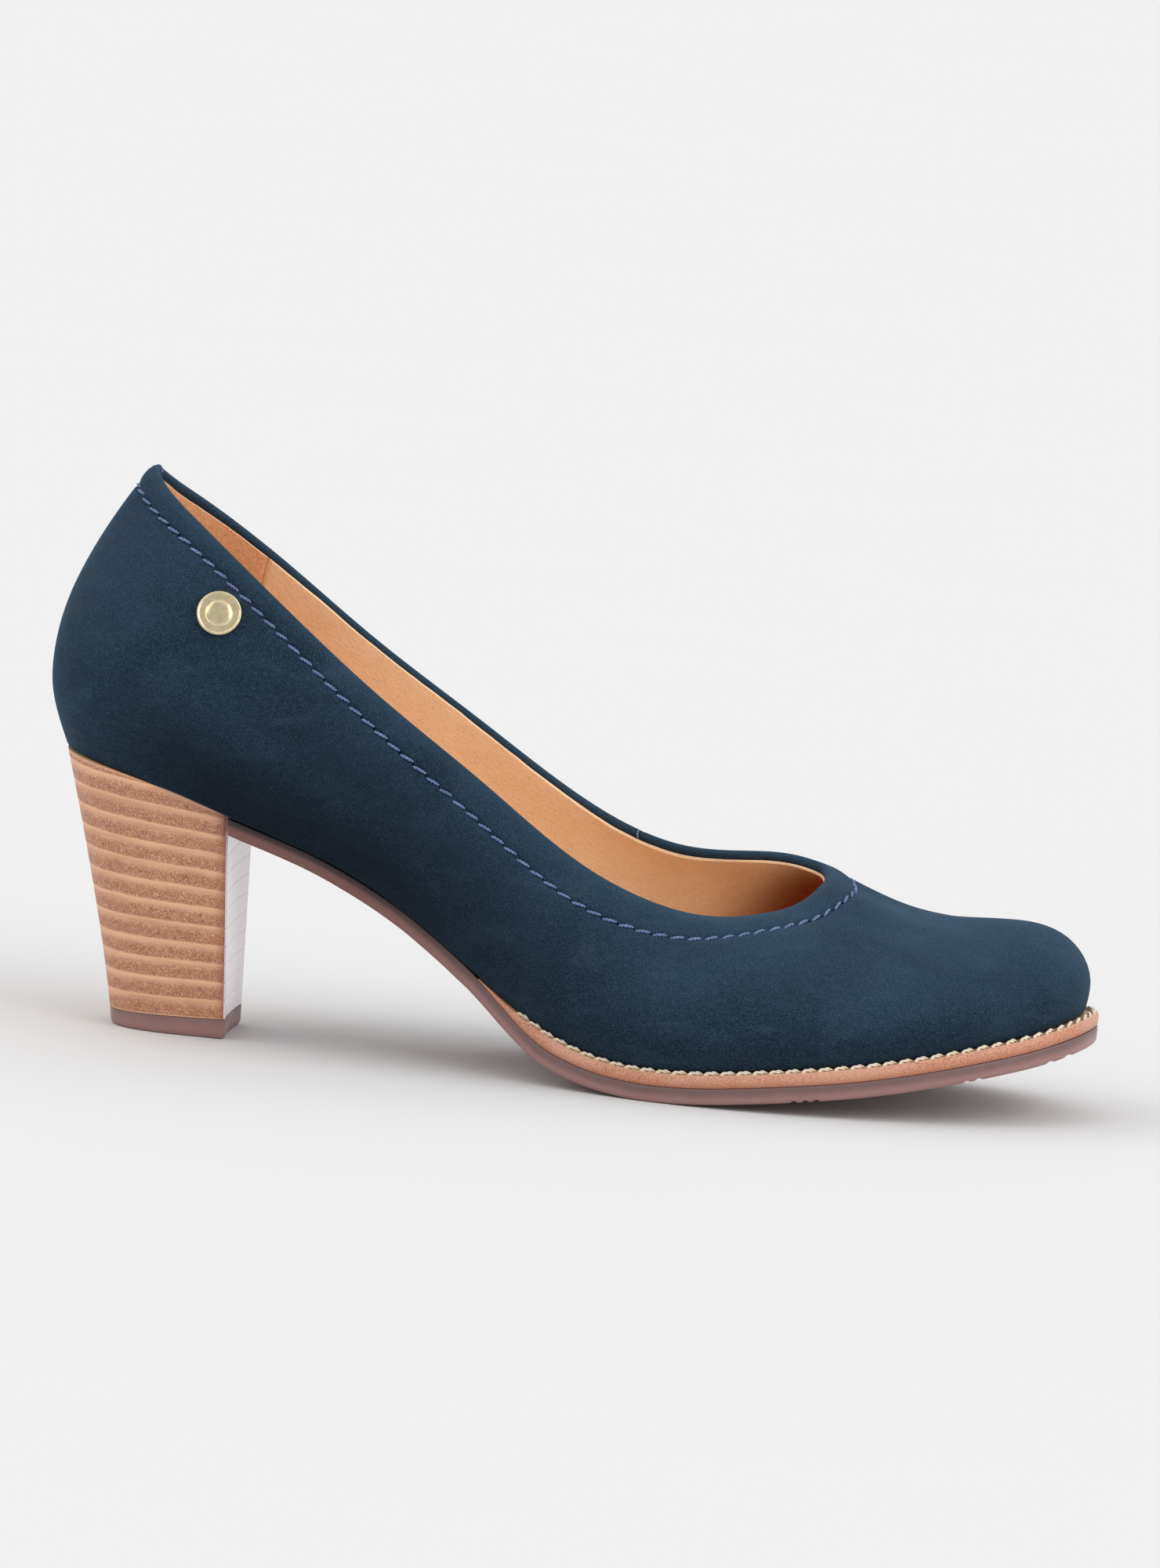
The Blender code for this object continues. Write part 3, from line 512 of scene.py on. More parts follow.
def node(tree, kind, inputs=None, **settings):
    """A shader node. An input that is a socket is linked, and any other is a value."""
    made = tree.nodes.new("ShaderNode" + kind)
    for key, value in settings.items():
        setattr(made, key, value)
    for key, value in (inputs or {}).items():
        if isinstance(value, bpy.types.NodeSocket):
            tree.links.new(value, made.inputs[key])
        else:
            made.inputs[key].default_value = value
    return made


def colour(red, green, blue):
    """A colour given as it looks on screen, 0 to 255, in linear light."""
    shares = [value / 255 for value in (red, green, blue)]
    return (*[s / 12.92 if s <= 0.04045 else ((s + 0.055) / 1.055) ** 2.4 for s in shares], 1)


class Look:
    """A material under construction: its node tree, its coordinates and its shader."""

    def __init__(self, name, roughness, metallic=0.0, **sockets):
        self.made = bpy.data.materials.new(name)
        self.made.use_nodes = True
        self.tree = self.made.node_tree
        self.shader = self.tree.nodes["Principled BSDF"]
        self.set("Roughness", roughness)
        self.set("Metallic", metallic)
        for key, value in sockets.items():
            self.set(key.replace("_", " "), value)
        where = node(self.tree, "TexCoord").outputs["Object"]
        scaled = node(self.tree, "VectorMath", {0: where}, operation="SCALE")
        scaled.inputs["Scale"].default_value = 1 / MM
        self.where = scaled.outputs["Vector"]

    def set(self, key, value):
        if isinstance(value, bpy.types.NodeSocket):
            self.tree.links.new(value, self.shader.inputs[key])
        else:
            self.shader.inputs[key].default_value = value

    def attribute(self, name, output="Fac"):
        return node(self.tree, "Attribute", attribute_name=name).outputs[output]

    def stretch(self, scale, vector=None):
        """The coordinates, scaled on each axis, for a pattern with a direction."""
        vector = vector or self.where
        return node(self.tree, "Mapping", {"Vector": vector, "Scale": scale}).outputs["Vector"]

    def noise(self, size, detail=4.0, roughness=0.55, vector=None, distortion=0.0):
        """Cloudy noise from 0 to 1, with lumps of about this size in millimetres."""
        inputs = {
            "Vector": vector or self.where, "Scale": 1 / size, "Detail": detail,
            "Roughness": roughness, "Distortion": distortion,
        }
        return node(self.tree, "TexNoise", inputs).outputs["Fac"]

    def cells(self, size):
        inputs = {"Vector": self.where, "Scale": 1 / size}
        return node(self.tree, "TexVoronoi", inputs).outputs["Distance"]

    def span(self, value, low, high, to_low=0.0, to_high=1.0):
        """value from low to high, eased into to_low to to_high."""
        inputs = {"Value": value, 1: low, 2: high, 3: to_low, 4: to_high}
        made = node(self.tree, "MapRange", inputs, interpolation_type="SMOOTHSTEP")
        return made.outputs[0]

    def math(self, operation, first, second=0.0, third=0.0):
        inputs = {0: first, 1: second, 2: third}
        return node(self.tree, "Math", inputs, operation=operation).outputs[0]

    def mix(self, factor, first, second):
        """One colour or the other, by factor."""
        inputs = {0: factor, 6: first, 7: second}
        return node(self.tree, "Mix", inputs, data_type="RGBA").outputs[2]

    def layered(self, base, *layers):
        """base with layers over it, each a pattern, where it starts and is full, how much
        it covers there, and its colour."""
        for value, start, full, cover, over in layers:
            base = self.mix(self.span(value, start, full, 0, cover), base, over)
        return base

    def bump(self, height, distance, strength=1.0, below=None):
        """Relief: distance is the height in millimetres between 0 and 1."""
        inputs = {"Height": height, "Distance": distance * MM, "Strength": strength}
        if below:
            inputs["Normal"] = below
        return node(self.tree, "Bump", inputs).outputs["Normal"]

    def finish(self, base, normal=None, roughness=None):
        self.set("Base Color", base)
        if normal:
            self.set("Normal", normal)
        if roughness:
            self.set("Roughness", roughness)
        return self.made


def nubuck():
    """Navy nubuck: a short nap that catches light at grazing angles, brushed into cloudy
    patches, with a fine grain. Light from above is painted in: it is paler where it faces
    up and darker where it faces down. Painted shade darkens it over the heel seat and the
    arch, where its shade is set, and it is paler on the worn fold."""
    look = Look("navy_nubuck", 0.92, Specular_IOR_Level=0.1, Sheen_Weight=0.3,
                Sheen_Roughness=0.4, Sheen_Tint=colour(112, 150, 178))
    patches = look.noise(38, detail=4, distortion=0.8)
    streaks = look.noise(8, detail=5, vector=look.stretch((0.5, 1, 1.5)), distortion=0.4)
    grain = look.noise(0.25, detail=2, roughness=0.75)
    tufts = look.noise(1.1, detail=3, roughness=0.6)
    facing = node(look.tree, "NewGeometry").outputs["Normal"]
    facing_up = node(look.tree, "SeparateXYZ", {"Vector": facing}).outputs["Z"]
    # Painted light: paler where the surface faces up, darker where it faces down.
    base = look.mix(look.span(facing_up, -0.5, 0.7), colour(28, 42, 56), colour(38, 57, 74))
    base = look.layered(
        base,
        (patches, 0.42, 0.66, 0.5, colour(18, 31, 43)),
        (streaks, 0.5, 0.76, 0.4, colour(52, 74, 92)),
        (tufts, 0.45, 0.7, 0.25, colour(48, 68, 85)),
        (grain, 0.5, 0.66, 0.48, colour(70, 94, 113)),
        (grain, 0.5, 0.34, 0.6, colour(8, 18, 28)),
    )
    # Painted shade over the heel seat and the arch, as much as the shade attribute says.
    base = look.mix(look.math("MULTIPLY", look.attribute("shade"), 0.75), base, colour(10, 15, 22))
    worn = look.span(look.attribute("rim"), 0.4, 1.0, 0, 0.3)
    base = look.mix(worn, base, colour(50, 72, 88))
    relief = look.bump(grain, 0.09, 0.8)
    relief = look.bump(tufts, 0.1, 0.4, relief)
    return look.finish(base, relief)


def lining_leather(name, rough=False):
    """Smooth tan lining leather with fine creases along the shoe, and pale raw edges. The
    heel grip is the same leather with its flesh side out. Painted shade darkens it deep
    inside towards the toe, as the third number of laid rises."""
    look = Look(name, 0.55, Specular_IOR_Level=0.14)
    along = look.attribute("laid", "Vector")
    cloudy = look.noise(22, detail=4, distortion=0.4)
    base = look.mix(look.span(cloudy, 0.3, 0.72), colour(246, 206, 164), colour(252, 216, 178))
    creases = look.noise(0.5, detail=3, vector=look.stretch((0.35, 0.8, 1), along), distortion=0.6)
    pores = look.cells(0.6)
    if rough:
        base = look.mix(look.span(cloudy, 0.3, 0.72), colour(238, 184, 140), colour(246, 198, 154))
        fibres = look.noise(0.55, detail=5, roughness=0.75, distortion=1.2)
        base = look.layered(base, (fibres, 0.4, 0.66, 0.75, colour(196, 124, 82)))
        relief = look.bump(fibres, 0.22, 0.8)
    else:
        base = look.layered(
            base,
            (creases, 0.48, 0.7, 0.28, colour(216, 156, 108)),
            (pores, 0.3, 0.06, 0.3, colour(210, 150, 102)),
        )
        relief = look.bump(creases, 0.2, 0.9)
        relief = look.bump(pores, 0.08, 0.5, relief)
    edge = look.span(look.attribute("rim"), 0.45, 0.8)
    fuzz = look.noise(0.35, detail=3)
    pale = look.mix(fuzz, colour(228, 178, 132), colour(244, 206, 166))
    # Painted shade deep inside the toe, where the third number of laid rises.
    deep = look.span(node(look.tree, "SeparateXYZ", {"Vector": along}).outputs["Z"], 0, 1)
    base = look.mix(deep, base, colour(132, 58, 24))
    base = look.mix(edge, base, pale)
    roughness = look.span(creases, 0.3, 0.8, 0.42, 0.62)
    return look.finish(base, relief, roughness)


def stacked_leather(name, polished_with_painted_reflection=False):
    """Edge of the leather lifts: reddish fibres flecked with pale ones, a smoother tan
    stripe above them, and a pale line at each joint. The breast has a smooth glossy
    coat, and its colour is mixed nearly to white as a painted reflection."""
    look = Look(name, 0.5, Specular_IOR_Level=0.4)
    band = look.attribute("band")
    wobble = look.noise(3.6, detail=4, vector=look.stretch((0.5, 0.5, 1.4)))
    moved = look.math("MULTIPLY_ADD", wobble, 0.36, look.math("ADD", band, -0.18))
    core = look.math("MULTIPLY", look.span(moved, -0.06, 0.12), look.span(moved, 0.95, 0.45))
    fibres = look.noise(0.65, detail=3, roughness=0.75, distortion=2.6)
    specks = look.noise(0.3, detail=2, roughness=0.8)
    streak = look.noise(6.0, detail=4, vector=look.stretch((0.3, 0.3, 2.4)))
    base = look.mix(look.span(streak, 0.35, 0.7), colour(232, 178, 144), colour(208, 152, 120))
    red = look.mix(look.span(specks, 0.35, 0.65), colour(188, 124, 100), colour(148, 88, 70))
    base = look.mix(look.math("MULTIPLY", core, 0.85), base, red)
    pale = look.math("MULTIPLY", look.span(fibres, 0.52, 0.62), look.span(core, 0, 0.6, 0.25, 1.0))
    base = look.mix(pale, base, colour(232, 184, 134))
    dark = look.math("MULTIPLY", core, look.span(fibres, 0.47, 0.36, 0, 0.85))
    base = look.mix(dark, base, colour(106, 58, 44))
    joint = look.math("MAXIMUM", look.span(band, 0.07, 0.02), look.span(band, 0.93, 0.98))
    base = look.mix(look.math("MULTIPLY", joint, 0.7), base, colour(236, 190, 146))
    burnt = look.math("MULTIPLY", look.attribute("corner"), look.span(specks, 0.3, 0.6, 0.5, 1))
    base = look.mix(look.math("MULTIPLY", burnt, 0.7), base, colour(150, 80, 58))
    if polished_with_painted_reflection:
        # Painted reflection: the breast's colour is mixed nearly to white.
        base = look.mix(0.84, base, colour(255, 240, 250))
        look.set("Coat Weight", 1.0)
        look.set("Coat Roughness", 0.12)
        look.set("Specular IOR Level", 0.8)
        return look.finish(base, look.bump(streak, 0.02, 0.3))
    return look.finish(base, look.bump(fibres, 0.05, 0.5))


def welt_leather():
    """Veg-tan welt: a pale, smooth top, and a flecked side burnished in long pale patches,
    which are partly a painted sheen, and darker towards the sole."""
    look = Look("welt_leather", 0.45, Specular_IOR_Level=0.5, Coat_Weight=0.25, Coat_Roughness=0.3)
    side = look.attribute("side")
    specks = look.noise(0.28, detail=3, roughness=0.8)
    upright = look.stretch((0.5, 0.5, 1.6))
    fibres = look.noise(0.7, detail=4, roughness=0.7, vector=upright, distortion=1.0)
    # The pale burnished patches are partly a painted sheen.
    burnish_and_painted_sheen = look.noise(26, detail=2)
    top = look.mix(look.span(fibres, 0.35, 0.7), colour(236, 190, 158), colour(220, 166, 132))
    edge = look.mix(look.span(specks, 0.4, 0.6), colour(226, 166, 132), colour(168, 98, 70))
    edge = look.layered(
        edge,
        (fibres, 0.5, 0.75, 0.4, colour(160, 88, 62)),
        (burnish_and_painted_sheen, 0.45, 0.65, 0.35, colour(226, 176, 156)),
        (look.attribute("down"), 0.35, 0.95, 0.5, colour(160, 88, 58)),
    )
    base = look.mix(look.span(side, 0.25, 0.6), top, edge)
    return look.finish(base, look.bump(specks, 0.08, 0.6))


def rubber():
    """Brown crepe-like rubber that lets a little light through, with painted light that makes
    it paler and pinker towards the ground. At the waist it has painted shade, darker and
    browner, and a painted shadow, nearly black, along its upper edge."""
    look = Look("brown_rubber", 0.42, Specular_IOR_Level=0.45, Subsurface_Weight=0.25,
                Subsurface_Radius=(0.004, 0.0016, 0.0013), Subsurface_Scale=0.6)
    height = look.attribute("height")
    cloudy = look.noise(5, detail=4)
    # Painted light: paler and pinker towards the ground, as if lit through the rubber.
    moved = look.math("MULTIPLY_ADD", cloudy, 0.3, look.math("ADD", height, -0.15))
    base = look.mix(look.span(moved, 0.25, 0.8), colour(152, 116, 112), colour(114, 89, 87))
    # Painted shade at the waist: darker and browner where the shade attribute is set.
    waist = look.attribute("shade")
    base = look.mix(look.math("MULTIPLY", waist, 0.75), base, colour(104, 62, 54))
    # Painted shadow, nearly black, along the upper edge of the side at the waist.
    painted_edge_shadow = look.math("MULTIPLY", look.span(height, 0.5, 0.78), waist)
    base = look.mix(painted_edge_shadow, base, colour(46, 33, 34))
    dust = look.noise(0.5, detail=3, roughness=0.7)
    base = look.layered(base, (dust, 0.6, 0.8, 0.3, colour(180, 146, 138)))
    relief = look.bump(look.noise(1.2, detail=5), 0.05, 0.5)
    roughness = look.span(cloudy, 0.3, 0.7, 0.34, 0.5)
    return look.finish(base, relief, roughness)


def thread(name, light, dark):
    """Twisted thread, darker between its fibres."""
    look = Look(name, 0.62, Specular_IOR_Level=0.4, Sheen_Weight=0.2)
    fibres = look.noise(0.16, detail=2, roughness=0.7)
    base = look.mix(look.span(fibres, 0.35, 0.65), dark, light)
    base = look.mix(look.span(look.noise(3, detail=2), 0.4, 0.7, 0, 0.35), base, dark)
    return look.finish(base, look.bump(fibres, 0.04, 0.6))


def metal(name, base_colour, other, roughness):
    """Plated or bare metal with faint polishing marks."""
    look = Look(name, roughness, 1.0)
    haze = look.noise(1.8, detail=4)
    marks = look.noise(0.5, detail=3, vector=look.stretch((0.2, 1, 1)))
    base = look.mix(look.span(haze, 0.35, 0.7), base_colour, other)
    polish = look.span(marks, 0.3, 0.7, roughness * 0.8, roughness * 1.35)
    return look.finish(base, look.bump(marks, 0.006, 0.4), polish)


def pressed(name, base_colour, fleck, size):
    """Board, cork, foam or felt: a matt body with flecks or pores."""
    look = Look(name, 0.9, Specular_IOR_Level=0.2)
    flecks = look.noise(size, detail=4, roughness=0.7, distortion=0.8)
    pores = look.cells(size * 1.4)
    base = look.mix(look.span(flecks, 0.4, 0.65), base_colour, fleck)
    base = look.mix(look.span(pores, 0.3, 0.05, 0, 0.4), base, fleck)
    return look.finish(base, look.bump(pores, 0.12, 0.5))


def painted_hole_shadow():
    # Painted shadow: near-black domes that stand for the shade inside the needle holes.
    look = Look("painted_needle_hole_shadow", 0.95, Specular_IOR_Level=0.05)
    base = look.mix(look.noise(0.3), colour(7, 14, 22), colour(14, 26, 38))
    return look.finish(base)


# ---------------------------------------------------------------- upper


def upper_panel(name, us, seams, replaced):
    """One panel of the upper: the outer face with the pressed-in topline seam, the folded
    edge, the inner face, and the margin turned under the insole."""
    ribs = Ribs(us)
    count = len(us)
    length, drop = ribs.length[:, None], ribs.seam_drop()[:, None]
    near, radius = 1.6, FOLD / 2
    low, high = length - 2 * FOOT, drop + near
    below = np.concatenate([
        length - FOOT * np.array([[0, 0.12, 0.3, 0.6, 1.0]]),
        low + (high - low) * np.linspace(0, 1, 36)[None, :-1],
        drop + near * np.linspace(1, -1, 11)[None],
        drop - near + (radius - drop + near) * np.linspace(0, 1, 7)[None, 1:-1],
    ], axis=1)
    spot = ribs.read(ribs.points, below)
    groove, half_width = SEAM_GROOVE
    depth = groove * np.exp(-(((below - drop) / half_width) ** 2))
    depth -= EDGE_PUFF * np.exp(-(((below - drop * 0.52) / (drop * 0.34)) ** 2))
    depth -= (0.16 * waves(spot, 26) + 0.05 * waves(spot, 9, 2.0)) * smooth(below, radius, 5)
    foot = np.clip(1 - (length - below) / FOOT, 0, 1)
    depth += FOOT * (1 - np.sqrt(1 - foot**2))
    turn = np.linspace(0, math.pi, FOLD_STEPS)
    fold_below = np.tile(radius * (1 - np.sin(turn)), (count, 1))
    fold_depth = np.tile(radius * (1 - np.cos(turn)), (count, 1))
    turned_in, down = 5.4, 16
    inside = turned_in + (length - 1.5 - turned_in) * np.linspace(0, 1, down)
    inside = np.concatenate([np.tile([1.8, 3.4, 4.6], (count, 1)), inside], axis=1)
    inside_depth = np.tile([FOLD, FOLD - 0.05, FOLD - 0.3, *[UPPER[1]] * down], (count, 1))
    valley = np.zeros(count)
    for seam in seams:
        deep = SIDE_VALLEY if 0 < seam < 1 else BACK_VALLEY
        valley += deep * np.exp(-(((us - seam) * ROUND_LENGTH / VALLEY_WIDTH) ** 2))
    outside = ribs.at(below, depth + valley[:, None])
    fold = ribs.at(fold_below, fold_depth + valley[:, None] * np.cos(turn / 2))
    margin = [beside(us, -inset, lift) for inset, lift in ((6, 0.05), (1.3, 0.05), (6, UPPER[1]))]
    margin = np.stack(margin, axis=1)
    inner_face = ribs.at(inside, inside_depth)
    grid = np.concatenate([margin[:, :2], outside, fold, inner_face, margin[:, 2:]], axis=1)
    rows = 2 + below.shape[1]
    rim = np.zeros(grid.shape[:2])
    rim[:, rows - 5 : rows] = np.linspace(0, 0.8, 5)
    rim[:, rows : rows + FOLD_STEPS] = 1.0
    faces = wall_faces(grid, rows + FOLD_STEPS // 2)
    x, rise = spot[..., 0], length - below
    # Painted shade for the nubuck: low over the heel seat, and partway up over the arch at the waist.
    seat = smooth(rise, 30, 6) * smooth(x, -14, 24) * smooth(x, 104, 64)
    waist = 0.6 * smooth(rise, 44, 22) * smooth(x, 20, 56) * smooth(x, 130, 80)
    shade = np.zeros(grid.shape[:2])
    shade[:, 2:rows] = np.maximum(seat, waist)
    values = {"rim": rim.ravel(), "shade": shade.ravel()}
    add_piece(name, grid, faces, ["nubuck"], [replaced], values)


def dense_stations(start, end, spacing, seams):
    """Stations round the shoe, with more of them close to the seams."""
    us = np.linspace(start, end, int((end - start) * ROUND_LENGTH / spacing))
    close = [seam + step / ROUND_LENGTH for seam in seams
             for step in (-1.6, -1.0, -0.6, -0.3, 0.3, 0.6, 1.0, 1.6)]
    return np.unique(np.round(np.concatenate([us, [u for u in close if start < u < end]]), 6))


def build_upper():
    seam, half = SIDE_SEAM_U, 0.05 / ROUND_LENGTH
    vamp = dense_stations(half, seam - half, 1.5, (0, seam))
    upper_panel("vamp_and_outer_quarter_nubuck", vamp, (0, seam), "vamp_and_outer_quarter")
    quarter = dense_stations(seam + half, 1 - half, 1.5, (seam, 1))
    upper_panel("inner_quarter_nubuck", quarter, (seam, 1), "inner_quarter")


def build_topline_seam():
    """Stitches of the topline seam, with dark domes painted as the shadow in its needle
    holes, and the stitches that tie the fold at the back seam and the side seam."""
    ribs = Ribs(np.linspace(0, 1, 600))
    drop = ribs.seam_drop()[:, None]
    path = ribs.at(drop, 0.34)[:, 0]
    ups = ribs.read(ribs.normals, drop)[:, 0]
    points, faces, ends, end_ups = stitches(path, ups, **TOPLINE_STITCH)
    ties = ((0.0, -3.2), (0.0, -2.0), (SIDE_SEAM_U, 0.7))  # a seam, and millimetres from it
    for seam, step in ties:
        tie = Ribs(np.array([(seam + step / ROUND_LENGTH) % 1]))
        turn = np.linspace(0.3, 1.0, 12)[None] * math.pi
        reach = FOLD / 2
        around = tie.at(reach * (1 - np.sin(turn)), reach * (1 - np.cos(turn)))[0]
        out = around - tie.at(np.full_like(turn, reach), reach)[0]
        out /= np.linalg.norm(out, axis=1, keepdims=True)
        more, more_faces, _, _ = stitches(around, out, **TIE_STITCH)
        faces += [tuple(len(points) + corner for corner in face) for face in more_faces]
        points = np.concatenate([points, more])
    add_piece("topline_stitches", points, faces, ["blue_thread"], ["topline_thread"])
    # Dark domes painted as the shadow in the needle holes at the stitch ends.
    holes, hole_faces = discs(ends + end_ups * 0.05, end_ups, radius=0.5, height=0.1)
    add_piece("topline_painted_hole_shadows", holes, hole_faces, ["hole"])


def build_lining(name, start, end, look, replaced):
    """A piece of lining, with its cut edge just below the fold and its seams pressed in."""
    half = 0.05 / ROUND_LENGTH
    us = dense_stations(start + half, end - half, 1.5, (start, end))
    ribs = Ribs(us)
    at_back, at_side = LINING_EDGE
    edge = at_back + (at_side - at_back) * smooth(ribs.top[:, 0], 5, 45)
    edge = edge + 0.13 * waves(ribs.top, 7) + 0.08 * waves(ribs.top, 3.1, 1.0)
    edge, length = edge[:, None], ribs.length[:, None]
    share = np.concatenate([[0, 0.004, 0.009, 0.016, 0.03], np.linspace(0.045, 1, 44)])
    below = edge + (length - 0.6 - edge) * share
    spot = ribs.read(ribs.points, below)
    depth = LINING[1] + 0.1 * waves(spot, 13) + 0.05 * waves(spot * (0.35, 1, 1.3), 3.6, 1.0)
    valley = np.zeros(len(us))
    for seam in (start, end):
        valley += LINING_VALLEY * np.exp(-(((us - seam) * ROUND_LENGTH / LINING_VALLEY_WIDTH) ** 2))

    def lift(at):
        return LINING_LEAN[0] * np.exp(-(at - edge) / LINING_LEAN[1])

    face = ribs.at(below, depth - valley[:, None] - lift(below))
    back_below = np.concatenate([below[:, :0:-4], below[:, :1]], axis=1)
    back = ribs.at(back_below, LINING[0] - lift(back_below))
    crest = ribs.at(edge - 0.1, sum(LINING) / 2 - lift(edge))
    rows = back.shape[1]
    low, high = LINING_TURN
    turn = np.stack([beside(us, -4.6, high + 0.1), beside(us, -8, high), beside(us, -8, low)], axis=1)
    grid = np.concatenate([back, crest, face, turn], axis=1)
    rim = np.zeros(grid.shape[:2])
    rim[:, rows] = 1.0
    laid = np.zeros(grid.shape)
    laid[..., 0] = (us * ROUND_LENGTH)[:, None]
    shown = slice(rows + 1, rows + 1 + below.shape[1])
    laid[:, shown, 1] = below
    # The third number sets the painted shade deep inside the toe.
    laid[:, shown, 2] = smooth(spot[..., 0] + 0.6 * below, 138, 172)
    values = {"rim": rim.ravel(), "laid": laid.reshape(-1, 3)}
    add_piece(name, grid, wall_faces(grid, rows), [look], [replaced], values)


def build_inner_shell(stands_for, start, end, rows, depths):
    """A plain felt layer between upper and lining. rows are distances below the topline, or
    where they are under 1, shares of the height of the upper."""
    us = np.linspace(start, end, int((end - start) * ROUND_LENGTH / 2.5))
    ribs = Ribs(us)
    below = np.linspace(*rows, 26)[None] * np.ones((len(us), 1))
    if max(rows) < 1:
        below = ribs.length[:, None] * below
    grid = np.concatenate([ribs.at(below, depths[0]), ribs.at(below[:, ::-1], depths[1])], axis=1)
    faces = wall_faces(grid, below.shape[1] - 1)
    add_piece(stands_for + "_felt", grid, faces, ["felt"], [stands_for])


def build_stiffeners():
    """Counter, toe puff and the interlinings between them, and the tape under the fold."""
    low = STIFFENER_ROWS[1]
    counter_out, counter_in = u_at(COUNTER_X[0], -1, low), u_at(COUNTER_X[1], 1, low) - 1
    puff_out, puff_in = u_at(PUFF_X, -1, low), u_at(PUFF_X, 1, low)
    tight = 0.3 / ROUND_LENGTH
    for name, start, end in (
        ("heel_counter", counter_in, counter_out), ("toe_puff", puff_out, puff_in),
        ("outer_interlining", counter_out, puff_out),
        ("inner_interlining", puff_in, counter_in + 1),
    ):
        build_inner_shell(name, start + tight, end - tight, STIFFENER_ROWS, STIFFENER)
    build_inner_shell("topline_tape", tight, 1 - tight, TAPE_ROWS, TAPE)


def build_linings():
    grip_out, grip_in = GRIP_U
    build_lining("front_lining_leather", grip_out, grip_in, "lining", "front_lining")
    build_lining("heel_grip_leather", grip_in - 1, grip_out, "grip", "heel_grip_lining")


# ---------------------------------------------------------------- badge


def build_badge():
    """The gold cap, with a raised rim and a plain ring."""
    rib = Ribs([u_at(BADGE_X, -1, 0.8)])
    drop = np.array([[BADGE_DROP]])
    spot = rib.at(drop, 0.0)[0, 0]
    axis = Vector(rib.read(rib.normals, drop)[0, 0])
    turn = np.array(axis.to_track_quat("Z", "Y").to_matrix())
    profile = np.array((
        (0, -1.2), (1.1, -1.2), (1.1, 0.25), (4.7, 0.25), (5.1, 0.4), (5.2, 0.7), (5.18, 1.1),
        (5.08, 1.38), (4.9, 1.48), (4.72, 1.46), (4.6, 1.36), (4.5, 1.32), (3.6, 1.42), (3.16, 1.45),
        (3.1, 1.42), (3.0, 1.36), (2.9, 1.42), (2.84, 1.47), (1.6, 1.54), (0.8, 1.57), (0, 1.58),
    ))
    sides = 96
    angle = np.arange(sides) * 2 * math.pi / sides
    radius, height = profile[:, :1], profile[:, 1:]
    local = np.stack([radius * np.cos(angle), radius * np.sin(angle), height + 0 * angle], axis=-1)
    faces = ring_faces(len(profile), sides)
    add_piece("badge_gold_cap", spot + local @ turn.T, faces, ["gold"], ["badge_cap"])


# ---------------------------------------------------------------- bottom


def paired_stations(start, spacing):
    """Stations on the outer and on the inner side with the same x on the feather edge,
    from x start to the toe, where they crowd together."""
    us = np.linspace(0, 1, 2881)
    edge = surface(us, 0.0)[:, 0, 0]
    tip = int(np.argmax(edge))
    last = edge[tip] - 0.004  # a hair short of the tip
    bend = last - 22  # from here on the toe turns
    body = np.arange(start, bend, spacing)
    x = np.concatenate([body, bend + (last - bend) * np.sin(np.linspace(0, math.pi / 2, 70))])
    outer = slice(int(np.argmin(edge[:tip])), tip + 1)
    inner = slice(tip, tip + int(np.argmin(edge[tip:])) + 1)
    u_out = np.interp(x, edge[outer], us[outer])
    u_in = np.interp(x, edge[inner][::-1], us[inner][::-1])
    return x, u_out, u_in


def slab(start, spacing, margin, side, across, level):
    """Rings for a layer of the bottom: down the outer side, across below, up the inner
    side and back across the top. side lists (share of the thickness, offset), and level(x,
    share) gives the height. Also the share at every point."""
    x, u_out, u_in = paired_stations(start, spacing)
    reach = margin(x)
    rows, shares = [], []
    for share, offset in side:
        rows.append((beside(u_out, reach + offset, 0.0), beside(u_in, reach + offset, 0.0)))
        shares.append(share)
    steps = np.linspace(0, 1, across + 2)[1:-1]
    (out_top, in_top), (out_low, in_low) = rows[0], rows[-1]
    low = [out_low * (1 - step) + in_low * step for step in steps]
    high = [in_top * (1 - step) + out_top * step for step in steps]
    grid = np.stack([out for out, _ in rows] + low + [inn for _, inn in rows[::-1]] + high, axis=1)
    shares = np.array(shares + [shares[-1]] * across + shares[::-1] + [shares[0]] * across)
    shares = np.tile(shares, (len(x), 1))
    grid[..., 2] = level(grid[..., 0], shares)
    return grid, shares


def slab_faces(grid, across):
    """Faces of a slab. Its ends are closed from the outer to the inner edge."""
    count, size = grid.shape[:2]
    faces = ring_faces(count, size)
    side = size // 2 - across
    for base in (0, (count - 1) * size):
        pairs = [[base + j, base + 2 * side + across - 1 - j] for j in range(side)]
        high = [base + size - 1 - j for j in range(across)]
        low = [base + side + j for j in range(across)]
        pairs[0][1:1] = high
        pairs[-1][1:1] = low
        faces += [tuple(first + second[::-1]) for first, second in zip(pairs, pairs[1:])]
    return faces


def sole_margin(x):
    """How far the sole stands out beyond the feather edge. At the waist it stays inside."""
    toe = (TOE_MARGIN - WELT_MARGIN) * smooth(x, 200, 225)
    return -0.6 + (WELT_MARGIN + 0.6) * smooth(x, WELT_START - 12, WELT_FULL) + toe


def welt_height(x):
    """Height of the welt between the sole and the feather edge."""
    return WELT_THICK * smooth(x, WELT_START - 4, WELT_FULL)


def steepness(x):
    """How much longer the bottom is than its plan at x."""
    slope = feather_height(x + 0.5) - feather_height(x - 0.5)
    return np.sqrt(1 + slope**2)


